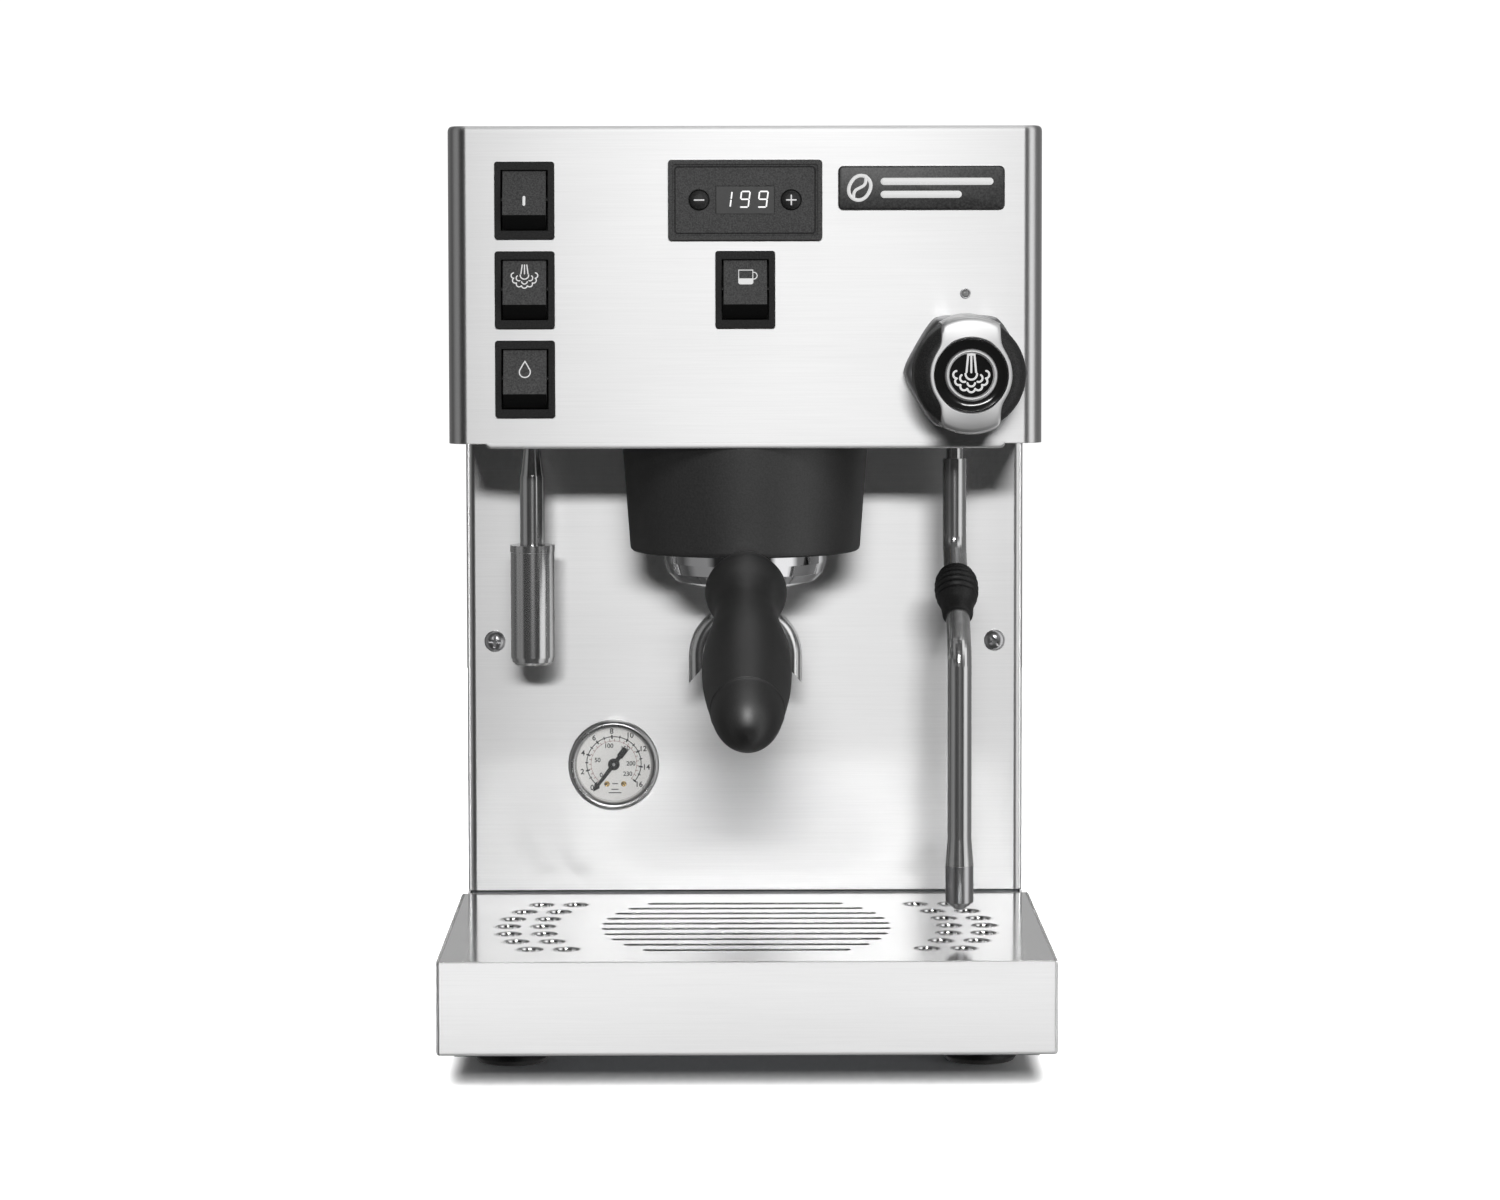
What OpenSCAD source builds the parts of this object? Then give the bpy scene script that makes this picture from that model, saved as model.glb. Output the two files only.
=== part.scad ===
// Espresso machine with two boilers, a bayonet portafilter and an articulated steam wand.
// Millimetres, +Z up, +Y to the back, origin on the counter under the middle of the machine's box.

/* [Body] */
// Width of the drip tray, the widest piece
tray_w = 250; // [248:1:254]
// Width across the body panels
body_w = 245; // [244:1:246]
// Height from the counter to the top edge of the panels
total_h = 390; // [389:1:394]
// Depth from the drip tray's front to the rear screws
body_d = 420; // [420:1:430]
// Depth of the drip tray
tray_d = 170; // [169:1:172]
// How far the head stands in front of the splash panel
head_overhang = 114; // [113:1:116]
// Height of the head's lower edge
head_z = 257.3; // [257:0.1:258]
// Thickness of the body sheets
sheet = 1.2; // [1:0.1:1.4]

/* [Drip tray] */
// Height of the tray's underside
tray_z = 16.5; // [16.5:0.5:18]
// Height of the grate's top face
grate_z = 54.5; // [54:0.5:55]
// Diameter of the round drain holes
drain_d = 11; // [9:0.5:12]
// Number of drain slots
slot_count = 10; // [6:2:10]

/* [Group and portafilter] */
// Distance from the head's front back to the group's axis
group_setback = 53; // [52:1:54]
// Height of the group cover's lower edge
cover_z = 211.4; // [211.2:0.1:212]
// Outside diameter of the portafilter bowl
bowl_d = 68.7; // [68:0.1:69]
// Downward slope of the portafilter handle, in degrees
handle_slope = 20; // [18:0.5:21]

/* [Steam and water] */
// Sideways place of the steam wand
wand_x = 89; // [87:0.5:90]
// Outside diameter of the wand's tube
wand_d = 10; // [9:0.5:10]
// How far the wand's lower stretch stands in front of its ball
wand_reach = 41; // [38:1:43]
// Sideways place of the hot water outlet
outlet_x = -91.3; // [-93:0.1:-90]

/* [Controls] */
// Sideways place of the steam knob
knob_x = 90.5; // [90:0.1:92]
// Height of the steam knob's axis
knob_z = 289; // [288:0.5:290]
// Distance between the three stacked switches
switch_pitch = 36.7; // [35:0.1:37]
// Height of the upper switch and the display
upper_z = 359.5; // [358:0.5:360]

/* [Hidden] */
$fn = 64;

// Main planes, from front to back
handle_reach = 80;                       // handle tip in front of the drip tray
y_back = (body_d + handle_reach) / 2;    // heads of the rear screws
y_tray = y_back - body_d;                // drip tray's front
y_tip = y_tray - handle_reach;           // handle's tip
y_splash = y_tray + tray_d + 2;          // splash panel's front face
y_head = y_splash - head_overhang;       // head panel's front face
y_group = y_head + group_setback;        // group's axis
y_rear = y_back - 1.8;                   // rear panel's outer face
y_seam = y_head + 32;                    // where the head panel meets the side panels

// Main heights
pan_z = 14;                              // underside of the base pan, on the feet
pan_t = 2;
splash_z = grate_z + 0.9;                // splash panel's lower edge
head_side_z = head_z + 2;                // lower edge of the head's sides
floor_z = head_z + 2.2;                  // underside of the head's floor sheet
rim_z = total_h - 0.4;                   // top of the cup tray's rim
frame_top = total_h - 13.1;              // top of the inner frame, under the cup tray

// Shared details
corner_r = 8;                            // head panel's vertical corners
side_in = body_w / 2 - sheet;            // inner faces of the side panels
post_x = side_in - 0.4;                  // outer faces of the inner frame
switch_x = -90.6;
lower_z = upper_z - switch_pitch;
switches = [[switch_x, upper_z], [switch_x, lower_z], [switch_x, lower_z - switch_pitch], [0, lower_z]];
lamp_z = 321;
gauge_at = [-57.9, 111.2];
screw_at = [110, 166];
badge_at = [72.4, 364.4];
button_x = 18.9;
tank_y = [180, 241];
tank_zs = [174, 366];
tank_mid = (tank_y[0] + tank_y[1]) / 2;
tank_w = 190;
pump_x = 58;
pump_z = 66;
boiler_at = [-55, y_splash + 92];
boiler_zs = [70, 215];

// ---------- helpers ----------

module rounded_rect(w, h, r) {
  square([w - 2 * r, h], center = true);
  square([w, h - 2 * r], center = true);
  for (x = [-1, 1], y = [-1, 1])
    translate([x * (w / 2 - r), y * (h / 2 - r)]) circle(r, $fn = 32);
}

// Extrudes a drawing made in X and Z from y to y + depth.
module facing(y, depth) {
  translate([0, y + depth, 0]) rotate([90, 0, 0]) linear_extrude(depth) children();
}

module box(x, y, z) {
  translate([x[0], y[0], z[0]]) cube([x[1] - x[0], y[1] - y[0], z[1] - z[0]]);
}

// A rod along Z, or a cone between two radii.
module rod(x, y, z, r, r_top = 0) {
  translate([x, y, z[0]]) cylinder(h = z[1] - z[0], r1 = r, r2 = r_top == 0 ? r : r_top);
}

// A rod along Y.
module rod_y(x, y, z, r) {
  translate([x, y[0], z]) rotate([-90, 0, 0]) cylinder(h = y[1] - y[0], r = r);
}

module tube(x, y, z, r_out, r_in) {
  difference() {
    rod(x, y, z, r_out);
    rod(x, y, [z[0] - 1, z[1] + 1], r_in);
  }
}

// U-shaped outline seen from above: rounded front corners, open at the back.
module u_outline(w, y_front, y_end, r) {
  translate([-w / 2, y_front + r]) square([w, y_end - y_front - r]);
  translate([-w / 2 + r, y_front]) square([w - 2 * r, y_end - y_front]);
  for (s = [-1, 1]) translate([s * (w / 2 - r), y_front + r]) circle(r);
}

module u_sheet(w, y_front, y_end, r, t) {
  difference() {
    u_outline(w, y_front, y_end, r);
    u_outline(w - 2 * t, y_front + t, y_end + 1, max(r - t, 0.5));
  }
}

module slot_2d(length, width) {
  square([length - width, width], center = true);
  for (s = [-1, 1]) translate([s * (length - width) / 2, 0]) circle(width / 2, $fn = 24);
}

// A turned profile about the group's axis.
module group_turned(points) {
  translate([0, y_group, 0]) rotate_extrude() polygon(points);
}

// A sector of a circle, centred on an angle.
module sector(r, angle, width) {
  polygon(concat([[0, 0]], [for (k = [-2 : 2]) let (a = angle + k * width / 4) r * [cos(a), sin(a)]]));
}

// ---------- pipes: points rounded at their corners, then swept with a polygon ----------

function unit(v) = v / norm(v);

function rounded_path(p, r, steps = 5) = concat(
  [p[0]],
  [for (i = [1 : len(p) - 2])
    let (a = p[i] + r * unit(p[i - 1] - p[i]), b = p[i] + r * unit(p[i + 1] - p[i]))
    for (k = [0 : steps])
      let (t = k / steps) pow(1 - t, 2) * a + 2 * t * (1 - t) * p[i] + t * t * b],
  [p[len(p) - 1]]);

function path_dir(p, i) =
  i == 0 ? unit(p[1] - p[0]) :
  i == len(p) - 1 ? unit(p[i] - p[i - 1]) :
  unit(unit(p[i] - p[i - 1]) + unit(p[i + 1] - p[i]));

function side_of(d, last) = unit(last - (last * d) * d);

function sides_along(p, i, last) =
  let (s = side_of(path_dir(p, i), last))
  i == len(p) - 1 ? [s] : concat([s], sides_along(p, i + 1, s));

module pipe(points, r, bend, sides = 10) {
  p = rounded_path(points, bend);
  s = sides_along(p, 0, [0.31, 0.87, 0.38]);
  rings = [for (i = [0 : len(p) - 1]) let (c = cross(path_dir(p, i), s[i]))
    for (k = [0 : sides - 1]) p[i] + r * (cos(360 * k / sides) * s[i] + sin(360 * k / sides) * c)];
  last = (len(p) - 1) * sides;
  walls = [for (i = [0 : len(p) - 2], k = [0 : sides - 1])
    let (a = i * sides + k, b = i * sides + (k + 1) % sides)
    [a, b, b + sides, a + sides]];
  polyhedron(
    points = rings,
    faces = concat([[for (k = [0 : sides - 1]) sides - 1 - k]],
      [for (w = walls) [w[0], w[1], w[2]]], [for (w = walls) [w[0], w[2], w[3]]],
      [[for (k = [0 : sides - 1]) last + k]]));
}

// ---------- chassis and panels ----------

// Pan under the whole machine, with upstands and the steam boiler's stand.
module base_pan() color("dimgray") {
  pan_x = side_in - 3;
  box([-pan_x, pan_x], [y_tray + 12, y_rear - 2.2], [pan_z, pan_z + pan_t]);
  box([-pan_x, pan_x], [y_splash + 2, y_splash + 3.5], [pan_z + pan_t - 0.01, grate_z]);
  for (s = [-1, 1])
    box([min(s * pan_x, s * (pan_x - 1.5)), max(s * pan_x, s * (pan_x - 1.5))],
      [y_splash + 3, y_rear - 2.2], [pan_z + pan_t - 0.01, 34]);
  box([-pan_x, pan_x], [y_rear - 3.7, y_rear - 2.2], [pan_z + pan_t - 0.01, 34]);
  rod(boiler_at[0], boiler_at[1], [pan_z + pan_t - 0.01, boiler_zs[0] - 0.2], 30);
}

foot_places = [[-98, y_head + 17], [98, y_head + 17], [-98, y_rear - 30], [98, y_rear - 30]];

module feet() color("black")
  for (p = foot_places) translate([p[0], p[1], 0])
    rotate_extrude() polygon([[0, 0], [14, 0], [15.5, 2], [13.5, 10], [13.5, pan_z], [0, pan_z]]);

// Four angle posts tied by top rails, and the shelf under the tank.
module inner_frame() color("gray") {
  y_front = y_splash + 5;
  y_end = y_rear - 3;
  for (s = [-1, 1]) mirror([s < 0 ? 1 : 0, 0, 0]) {
    box([post_x - 1.9, post_x], [y_front, y_front + 20], [34.5, frame_top]);
    box([post_x - 20, post_x], [y_front, y_front + 2], [34.5, frame_top]);
    box([post_x - 1.9, post_x], [y_end - 18, y_end], [34.5, frame_top]);
    box([post_x - 20, post_x], [y_end - 2, y_end], [34.5, frame_top]);
    box([post_x - 1.9, post_x], [y_front, y_end], [frame_top - 16, frame_top]);
    box([post_x - 1.9, post_x], [y_head + corner_r + 1, y_front + 1], [frame_top - 16, frame_top]);
  }
  box([-post_x, post_x], [y_front, y_front + 2], [frame_top - 16, frame_top]);
  box([-post_x, post_x], [y_end - 2, y_end], [frame_top - 16, frame_top]);
  difference() {
    box([-post_x, post_x], [tank_y[0] - 4, y_end - 1], [tank_zs[0] - 2, tank_zs[0] - 0.4]);
    rod(0, tank_mid, [160, 180], 11);
  }
  tube(0, tank_mid, [152, tank_zs[0] - 1.9], 14, 10.4);
}

// Side sheet: the full height behind the splash panel, and the side of the head in front of it.
module side_sheet() {
  points = [[y_splash, tray_z], [y_rear, tray_z], [y_rear, total_h], [y_seam + 0.4, total_h],
    [y_seam + 0.4, head_side_z], [y_splash + 12.4, head_side_z],
    [y_splash + 12.4, splash_z - 0.3], [y_splash, splash_z - 0.3]];
  translate([side_in, 0, 0]) rotate([90, 0, 90]) linear_extrude(sheet) polygon(points);
  box([side_in - 4.8, side_in + 0.01], [y_seam + 0.4, y_rear - sheet - 0.2], [total_h - sheet, total_h]);
}

module side_panel_right() color("silver") side_sheet();

module side_panel_left() color("silver") mirror([1, 0, 0]) side_sheet();

inlet_at = [72, 50];

module rear_panel() color("silver")
  facing(y_rear - sheet, sheet) difference() {
    translate([-side_in + 0.3, tray_z]) square([2 * side_in - 0.6, total_h - tray_z - 0.4]);
    translate(inlet_at) square([27.4, 19.4], center = true);
    for (c = [-1, 1], k = [0 : 5]) {
      translate([c * 52, 300 + 9 * k]) slot_2d(62, 4);
      translate([c * 52, 100 + 9 * k]) slot_2d(62, 4);
    }
  }

module pan_screw(depth) {
  rotate([90, 0, 0]) {
    intersection() {
      translate([0, 0, -9]) sphere(11.3);
      cylinder(h = 3, r = 4.6);
    }
    translate([0, 0, -depth]) cylinder(h = depth + 0.2, r = 2);
  }
}

// Cross-head screws: two through the splash panel, six in the rear panel.
module panel_screws() color("silver") {
  for (s = [-1, 1]) translate([s * screw_at[0], y_splash, screw_at[1]]) pan_screw(4.5);
  for (s = [-1, 1], z = [30, 205, 378]) translate([s * 114, y_rear, z]) rotate([0, 0, 180])
    intersection() {
      pan_screw(2);
      translate([-10, -1.8, -10]) cube([20, 12, 20]);
    }
}

module splash_panel() color("silver") difference() {
  translate([0, 0, splash_z]) linear_extrude(head_z + 1.4 - splash_z)
    u_sheet(body_w, y_splash, y_splash + 12, 4, sheet);
  rod_y(gauge_at[0], [y_splash - 2, y_splash + 6], gauge_at[1], 19.2);
  for (s = [-1, 1]) rod_y(s * screw_at[0], [y_splash - 2, y_splash + 4], screw_at[1], 2.1);
}

module head_cutouts() {
  facing(y_head - 5, 12) {
    for (p = switches) translate(p) square([22.4, 29.4], center = true);
    translate([0, upper_z]) square([58.4, 28.4], center = true);
  }
  rod_y(knob_x, [y_head - 5, y_head + 5], knob_z, 6);
  rod_y(knob_x, [y_head - 5, y_head + 5], lamp_z, 2.05);
}

// Front sheet of the head, bent round to the sides, with folds along its top and bottom.
module head_panel() color("silver") difference() {
  union() {
    translate([0, 0, head_side_z]) linear_extrude(total_h - head_side_z)
      u_sheet(body_w, y_head, y_seam, corner_r, sheet);
    translate([0, 0, total_h - sheet]) linear_extrude(sheet)
      u_sheet(body_w, y_head, y_seam, corner_r, 6);
    box([-107, 107], [y_head, y_head + sheet], [head_z, head_side_z + 1]);
    box([-107, 107], [y_head, y_head + 12], [head_z, head_z + sheet]);
  }
  head_cutouts();
}

module head_floor() color("silver") difference() {
  box([-post_x, post_x], [y_head + 12.5, y_splash - 0.5], [floor_z, floor_z + sheet]);
  rod(0, y_group, [floor_z - 1, floor_z + 3], 54.5);
  rod(wand_x, y_group, [floor_z - 1, floor_z + 3], 13.5);
  rod(outlet_x, y_group + 19, [floor_z - 1, floor_z + 3], 6);
}

// Removable tray on top that warms cups: a folded rim and louvre slots.
module cup_tray() color("silver") {
  w = 2 * side_in - 10.6;
  y_mid = (y_head + 7 + tank_y[0] - 15) / 2;
  d = tank_y[0] - 15 - y_head - 7;
  translate([0, y_mid, 0]) difference() {
    translate([0, 0, frame_top + 0.1]) linear_extrude(rim_z - frame_top - 0.1) rounded_rect(w, d, 8);
    translate([0, 0, frame_top + 0.1 + sheet]) linear_extrude(20)
      rounded_rect(w - 2 * sheet, d - 2 * sheet, 8 - sheet);
    translate([0, 0, frame_top - 1]) linear_extrude(5)
      for (s = [-1, 1], k = [-6 : 6]) translate([s * 52, k * 18]) slot_2d(78, 6);
  }
}

// Lid over the water tank, with two finger holes.
module tank_cover() color("silver") {
  w = 2 * side_in - 10.6;
  y0 = tank_y[0] - 14;
  y1 = y_rear - 3.4;
  translate([0, (y0 + y1) / 2, 0]) difference() {
    translate([0, 0, frame_top + 0.1]) linear_extrude(rim_z - frame_top - 0.1) rounded_rect(w, y1 - y0, 6);
    translate([0, 0, frame_top - 1]) linear_extrude(rim_z - frame_top + 1 - sheet)
      rounded_rect(w - 2 * sheet, y1 - y0 - 2 * sheet, 6 - sheet);
    for (s = [-1, 1]) translate([s * 70, 0, 370]) cylinder(h = 30, r = 11);
  }
}

module water_tank() color("whitesmoke") {
  d = tank_y[1] - tank_y[0];
  translate([0, tank_mid, 0]) difference() {
    translate([0, 0, tank_zs[0]]) linear_extrude(tank_zs[1] - tank_zs[0]) rounded_rect(tank_w, d, 10);
    translate([0, 0, tank_zs[0] + 3]) linear_extrude(400) rounded_rect(tank_w - 5, d - 5, 7.5);
  }
  box([-7, 7], [tank_y[0] + 1, tank_y[1] - 1], [tank_zs[1] - 6, tank_zs[1]]);
  rod(0, tank_mid, [tank_zs[0] - 12, tank_zs[0] + 1], 9);
}

module mains_inlet() color("black") difference() {
  union() {
    facing(y_rear - 20, 20.1) translate(inlet_at) square([27, 19], center = true);
    facing(y_rear, 1.8) translate(inlet_at) rounded_rect(34, 24, 2);
  }
  facing(y_rear - 16, 20) difference() {
    translate(inlet_at) rounded_rect(23, 15, 2);
    for (x = [-7, 0, 7]) translate(inlet_at + [x, x == 0 ? 2.5 : -2]) square([2, 4.4], center = true);
  }
}

// ---------- water and steam works ----------

module steam_boiler() color("silver") translate([boiler_at[0], boiler_at[1], 0])
  rotate_extrude() polygon([[0, boiler_zs[0]], [38, boiler_zs[0]], [45, boiler_zs[0] + 3],
    [48, boiler_zs[0] + 10], [48, boiler_zs[1] - 10], [45, boiler_zs[1] - 3], [38, boiler_zs[1]],
    [0, boiler_zs[1]]]);

module brew_boiler() color("goldenrod")
  group_turned([[0, head_z + 5], [30, head_z + 5], [34, head_z + 9], [34, 338], [30, 342], [0, 342]]);

module heater(x, y, z, r) {
  rod(x, y, [z, z + 5], r);
  for (s = [-1, 1]) rod(x + s * 9, y, [z + 4.9, z + 14], 3);
}

module boiler_heaters() color("dimgray") {
  heater(boiler_at[0] + 14, boiler_at[1] + 14, 215.05, 17);
  heater(0, y_group + 8, 342.05, 17);
}

// Safety valve on the steam boiler, three-way brew valve and hot water valve.
module boiler_valves() color("goldenrod") {
  rod(boiler_at[0] - 22, boiler_at[1] + 10, [215.05, 240], 7);
  box([36, 58], [y_group + 20, y_group + 42], [284, 322]);
  box([outlet_x - 11, outlet_x + 11], [y_group + 5, y_group + 35], [285, 318]);
}

// Group head with the bayonet's lip, which has two gaps that the ears drop through.
module group_head() color("silver") {
  group_turned([[0, 238], [34.1, 238], [34.1, 231], [38, 231], [38, 213], [44, 213], [44, 252],
    [36, head_z + 4.95], [0, head_z + 4.95]]);
  translate([0, y_group, 213]) linear_extrude(4.6) difference() {
    circle(38.2);
    circle(35.2);
    for (a = [0, 180]) sector(45, a - 58, 50);
  }
}

module group_gasket() color("black") tube(0, y_group, [226.6, 237.9], 34, 28.6);

module shower_screen() color("silver") {
  group_turned([[0, 222.4], [2.8, 221.6], [2.8, 223], [28, 223], [28, 237.9], [26.8, 237.9],
    [26.8, 224.2], [0, 224.2]]);
}

// Tapered skirt that hides the group.
module group_cover() color("black") {
  top_z = head_z - 0.2;
  group_turned([[46.2, cover_z], [47.7, cover_z], [48.5, cover_z + 0.7], [48.8, cover_z + 1.8],
    [52, top_z], [49.3, top_z], [46, cover_z + 1.5]]);
}

module pump() color("dimgray") {
  rod_y(pump_x, [62, 142], pump_z, 17);
  box([pump_x - 22, pump_x + 22], [78, 122], [pump_z - 24, pump_z + 24]);
  rod_y(pump_x, [50, 62.1], pump_z, 8);
  for (s = [-1, 1]) rod(pump_x + s * 14, 100, [pan_z + pan_t + 0.1, pump_z - 23.9], 6);
}

module control_box() color("darkslategray") box([78, 112], [40, 150], [180, 300]);

// Steam, hot water and brew lines, and the thin line to the gauge.
module copper_pipes() color("peru") {
  steam_top = boiler_zs[1] + 0.1;
  pipe([[-35, 82, steam_top], [-35, 82, 330], [knob_x, 20, 330], [knob_x, 20, knob_z],
    [knob_x, y_group + 26, knob_z]], 3, 14);
  pipe([[-75, 80, steam_top], [-75, 80, 300], [outlet_x, 50, 300], [outlet_x, y_group + 35.2, 300]],
    3, 12);
  pipe([[pump_x, 49.9, pump_z], [pump_x, 36, pump_z], [30, 36, pump_z], [30, 30, 300], [0, 20, 300],
    [0, y_group + 34.2, 300]], 3, 9);
  pipe([[gauge_at[0], y_splash + 27.2, gauge_at[1]], [gauge_at[0], y_splash + 36, gauge_at[1]],
    [0, y_splash + 36, gauge_at[1]], [26.7, 34.7, 122]], 1.5, 7, 8);
}

module tank_hose() color("white")
  pipe([[0, tank_mid, 151.9], [0, tank_mid, pump_z], [pump_x, 180, pump_z], [pump_x, 142.1, pump_z]], 5, 20);

module steam_valve() color("goldenrod") difference() {
  union() {
    rod_y(knob_x, [y_head + 3, y_group + 12], knob_z, 10);
    rod_y(knob_x, [y_group + 11.9, y_group + 25.9], knob_z, 6);
    rod(wand_x, y_group, [ball_z + 12.05, knob_z], 9);
  }
  rod_y(knob_x, [y_head, y_head + 42], knob_z, 4.05);
}

ball_z = head_z + 4.7;

// Nut that holds the wand's ball, open below so that the wand can tilt.
module ball_nut() color("silver") difference() {
  rod(wand_x, y_group, [ball_z - 4, ball_z + 12], 12);
  translate([wand_x, y_group, ball_z]) sphere(8.6);
  rod(wand_x, y_group, [ball_z, ball_z + 13], 9.3);
}

module wand_seat() color("white") tube(wand_x, y_group, [ball_z + 8.7, ball_z + 11.6], 9, 3);

// The wand: ball, neck, upper stretch, forward slant, lower stretch and a flared end.
wand_r = wand_d / 2;
wand_top = ball_z - 12;
wand_corner = ball_z - 50;               // where the upper stretch meets the slant
wand_bend = 12;                          // radius of the two bends
wand_end = 82.3;
wand_y = y_group - wand_reach;
bend_in = wand_bend * tan(22.5);         // from a corner to the start of its bend
slant_len = wand_reach * sqrt(2);

// A 45 degree bend of round tube: starts at the origin going down and turns to the front.
module elbow() translate([0, -wand_bend, 0]) rotate([0, 90, 0]) rotate([0, 0, 45])
  rotate_extrude(angle = 45) translate([wand_bend, 0]) circle(wand_r, $fn = 32);

module wand_tube() color("silver") {
  translate([wand_x, y_group, 0]) {
    translate([0, 0, ball_z]) sphere(8.5);
    rod(0, 0, [wand_top - 0.1, ball_z - 5], 3.5);
    rod(0, 0, [wand_corner + bend_in - 0.05, wand_top], wand_r);
    translate([0, 0, wand_corner + bend_in]) elbow();
    translate([0, 0, wand_corner]) rotate([-45, 0, 0]) translate([0, 0, -slant_len + bend_in - 0.05])
      cylinder(h = slant_len - 2 * bend_in + 0.1, r = wand_r);
  }
  translate([wand_x, wand_y, wand_corner - wand_reach - bend_in]) rotate([180, 0, 0]) elbow();
  rod(wand_x, wand_y, [wand_end + 11, wand_corner - wand_reach - bend_in + 0.05], wand_r);
  rod(wand_x, wand_y, [wand_end, wand_end + 11.05], 5.85, wand_r);
}

grip_stations = [[14, 5.8], [15, 7.2], [18, 8.7], [23, 9.3], [28, 8.8], [31.5, 7.4], [33, 6.7], [37.5, 6.4]];

module wand_grip() color("black")
  translate([wand_x, y_group, wand_corner]) rotate([-45, 0, 0]) mirror([0, 0, 1])
    rotate_extrude() polygon(concat(
      [[wand_r + 0.05, 14]], [for (s = grip_stations) [s[1], s[0]]], [[wand_r + 0.05, 37.5]]));

module steam_tip() color("silver") translate([wand_x, wand_y, wand_end]) difference() {
  rotate_extrude() polygon([[0, -18.3], [2, -18.3], [5.85, -15.4], [5.85, -0.02], [0, -0.02]]);
  translate([0, 0, -16.8]) cylinder(h = 20, r = 1.6);
  for (a = [45 : 90 : 315])
    rotate([0, 0, a]) translate([3.9, 0, -17.5]) rotate([0, -35, 0]) cylinder(h = 5, r = 0.6);
}

outlet_y = y_group + 19;

module outlet_pipe() color("silver") {
  rod(outlet_x, outlet_y, [head_z, 285], 3.1);
  rod(outlet_x, outlet_y, [241.5, head_z + 0.1], 5, 3.1);
  rod(outlet_x, outlet_y, [212, 241.6], 5.3);
}

module outlet_nozzle() color("silver") translate([outlet_x, outlet_y, 0])
  rotate_extrude() polygon([[0, 180], [6, 180], [6, 160.4], [7.4, 160.4], [8.8, 161.6],
    [9.4, 163.6], [9.4, 208.8], [9.6, 209], [9.6, 211.95], [0, 211.95]]);

// ---------- portafilter ----------

module portafilter_body() color("silver") difference() {
  union() {
    group_turned([[0, 197], [24, 197], [29.5, 198.5], [33, 202], [bowl_d / 2, 206.5],
      [bowl_d / 2, 225.4], [0, 225.4]]);
    translate([0, y_group, 218.6]) linear_extrude(4) intersection() {
      circle(37.4);
      for (a = [0, 180]) sector(50, a, 36);
    }
    rod(0, y_group, [190, 197.1], 6.5);
    rod_y(0, [y_head - 4, y_group - 32], 203.2, 7);
  }
  rod(0, y_group, [203, 230], 30.6);
  rod(0, y_group, [180, 204], 4);
}

module filter_basket() color("silver")
  group_turned([[0, 204], [27.5, 204], [29.6, 206], [29.6, 225.6], [34, 225.6], [34, 226.3],
    [28.8, 226.3], [28.8, 206.3], [27.2, 204.8], [0, 204.8]]);

spout_r = 18;                            // radius of each spout's bend
spout_x = 1.4;                           // sideways place of the bend's centre
spout_z = 166;                           // height of the bend's centre
spout_tip = 154.4;                       // the slanted end's lowest point, on the outer side

module spout_arm(r) translate([spout_x, y_group, spout_z]) {
  rotate([90, 0, 0]) rotate_extrude(angle = 90) translate([spout_r, 0]) circle(r, $fn = 32);
  translate([spout_r, 0, spout_tip - spout_z - 2]) cylinder(h = spout_z - spout_tip + 2, r = r);
}

module double_spout() color("silver") difference() {
  union() {
    rod(0, y_group, [176, 196.8], 10);
    for (m = [0, 1]) mirror([m, 0, 0]) spout_arm(4.6);
  }
  rod(0, y_group, [189.9, 200], 6.55);
  rod(0, y_group, [180, 191], 4);
  for (m = [0, 1]) mirror([m, 0, 0]) {
    spout_arm(3.4);
    translate([spout_x + spout_r + 4.6, y_group, spout_tip]) rotate([0, 50, 0])
      translate([-16, -8, -16]) cube([22, 16, 16]);
  }
}

// Handle: radius against distance along its axis, from the collar's middle.
handle_stations = [[-15, 9.5], [-12.5, 10.8], [-7, 13.2], [0, 15.8], [4.5, 16.8], [10, 16], [18, 13.7],
  [28, 12.6], [44, 14.4], [60, 16.8], [76, 17.8], [94, 17], [112, 14.6]];
cap_stations = [[112, 14.6], [120, 12.9], [127, 10], [131.5, 6.6], [133.6, 3.4], [134.4, 0]];
collar_at = [y_head - 12, 201];
tip_swing = 0.41;                        // how far the rounded end passes the end of its axis
handle_scale = (collar_at[0] - y_tip - tip_swing) / cos(handle_slope) / 134.4;

module handle_frame() translate([0, collar_at[0], collar_at[1]]) rotate([90 + handle_slope, 0, 0]) children();

module portafilter_handle() color("black") difference() {
  handle_frame() rotate_extrude() polygon(concat([[0, -15 * handle_scale]],
    [for (s = handle_stations) [s[1], s[0] * handle_scale]], [[0, 112 * handle_scale]]));
  rod_y(0, [y_head - 4.1, y_head + 10], 203.2, 7.05);
}

module handle_end_cap() color("black") handle_frame()
  rotate_extrude() polygon(concat([[0, 112 * handle_scale + 0.05]],
    [for (s = cap_stations) [s[1], s[0] * handle_scale + (s[0] == 112 ? 0.05 : 0)]]));

// ---------- controls ----------

module switch_frames() color("black") for (p = switches) difference() {
  union() {
    facing(y_head - 2, 2) translate(p) rounded_rect(24.6, 31.7, 1.2);
    facing(y_head - 0.1, 12.1) translate(p) square([22, 29], center = true);
    for (z = [-7, 0, 7]) facing(y_head + 11.9, 4) translate(p + [0, z]) square([6, 0.8], center = true);
  }
  facing(y_head - 3, 13.5) translate(p) square([19.4, 24.8], center = true);
  rocker_pin(p, 12, 1.25);
}

module rocker_pin(at, reach, r)
  translate([at[0] - reach, y_head + 2, at[1]]) rotate([0, 90, 0]) cylinder(h = 2 * reach, r = r);

// Rocker in section: a long face that leans out to a ridge, and a short face under it.
module rocker(at) color("black") {
  translate([at[0] - 8.9, y_head, at[1]]) rotate([90, 0, 90]) linear_extrude(17.8)
    polygon([[-1.2, 12], [-5.4, -6], [0.3, -12], [5, -10], [9, -5], [9, 5], [5, 10]]);
  rocker_pin(at, 10.8, 1.2);
}

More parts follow.
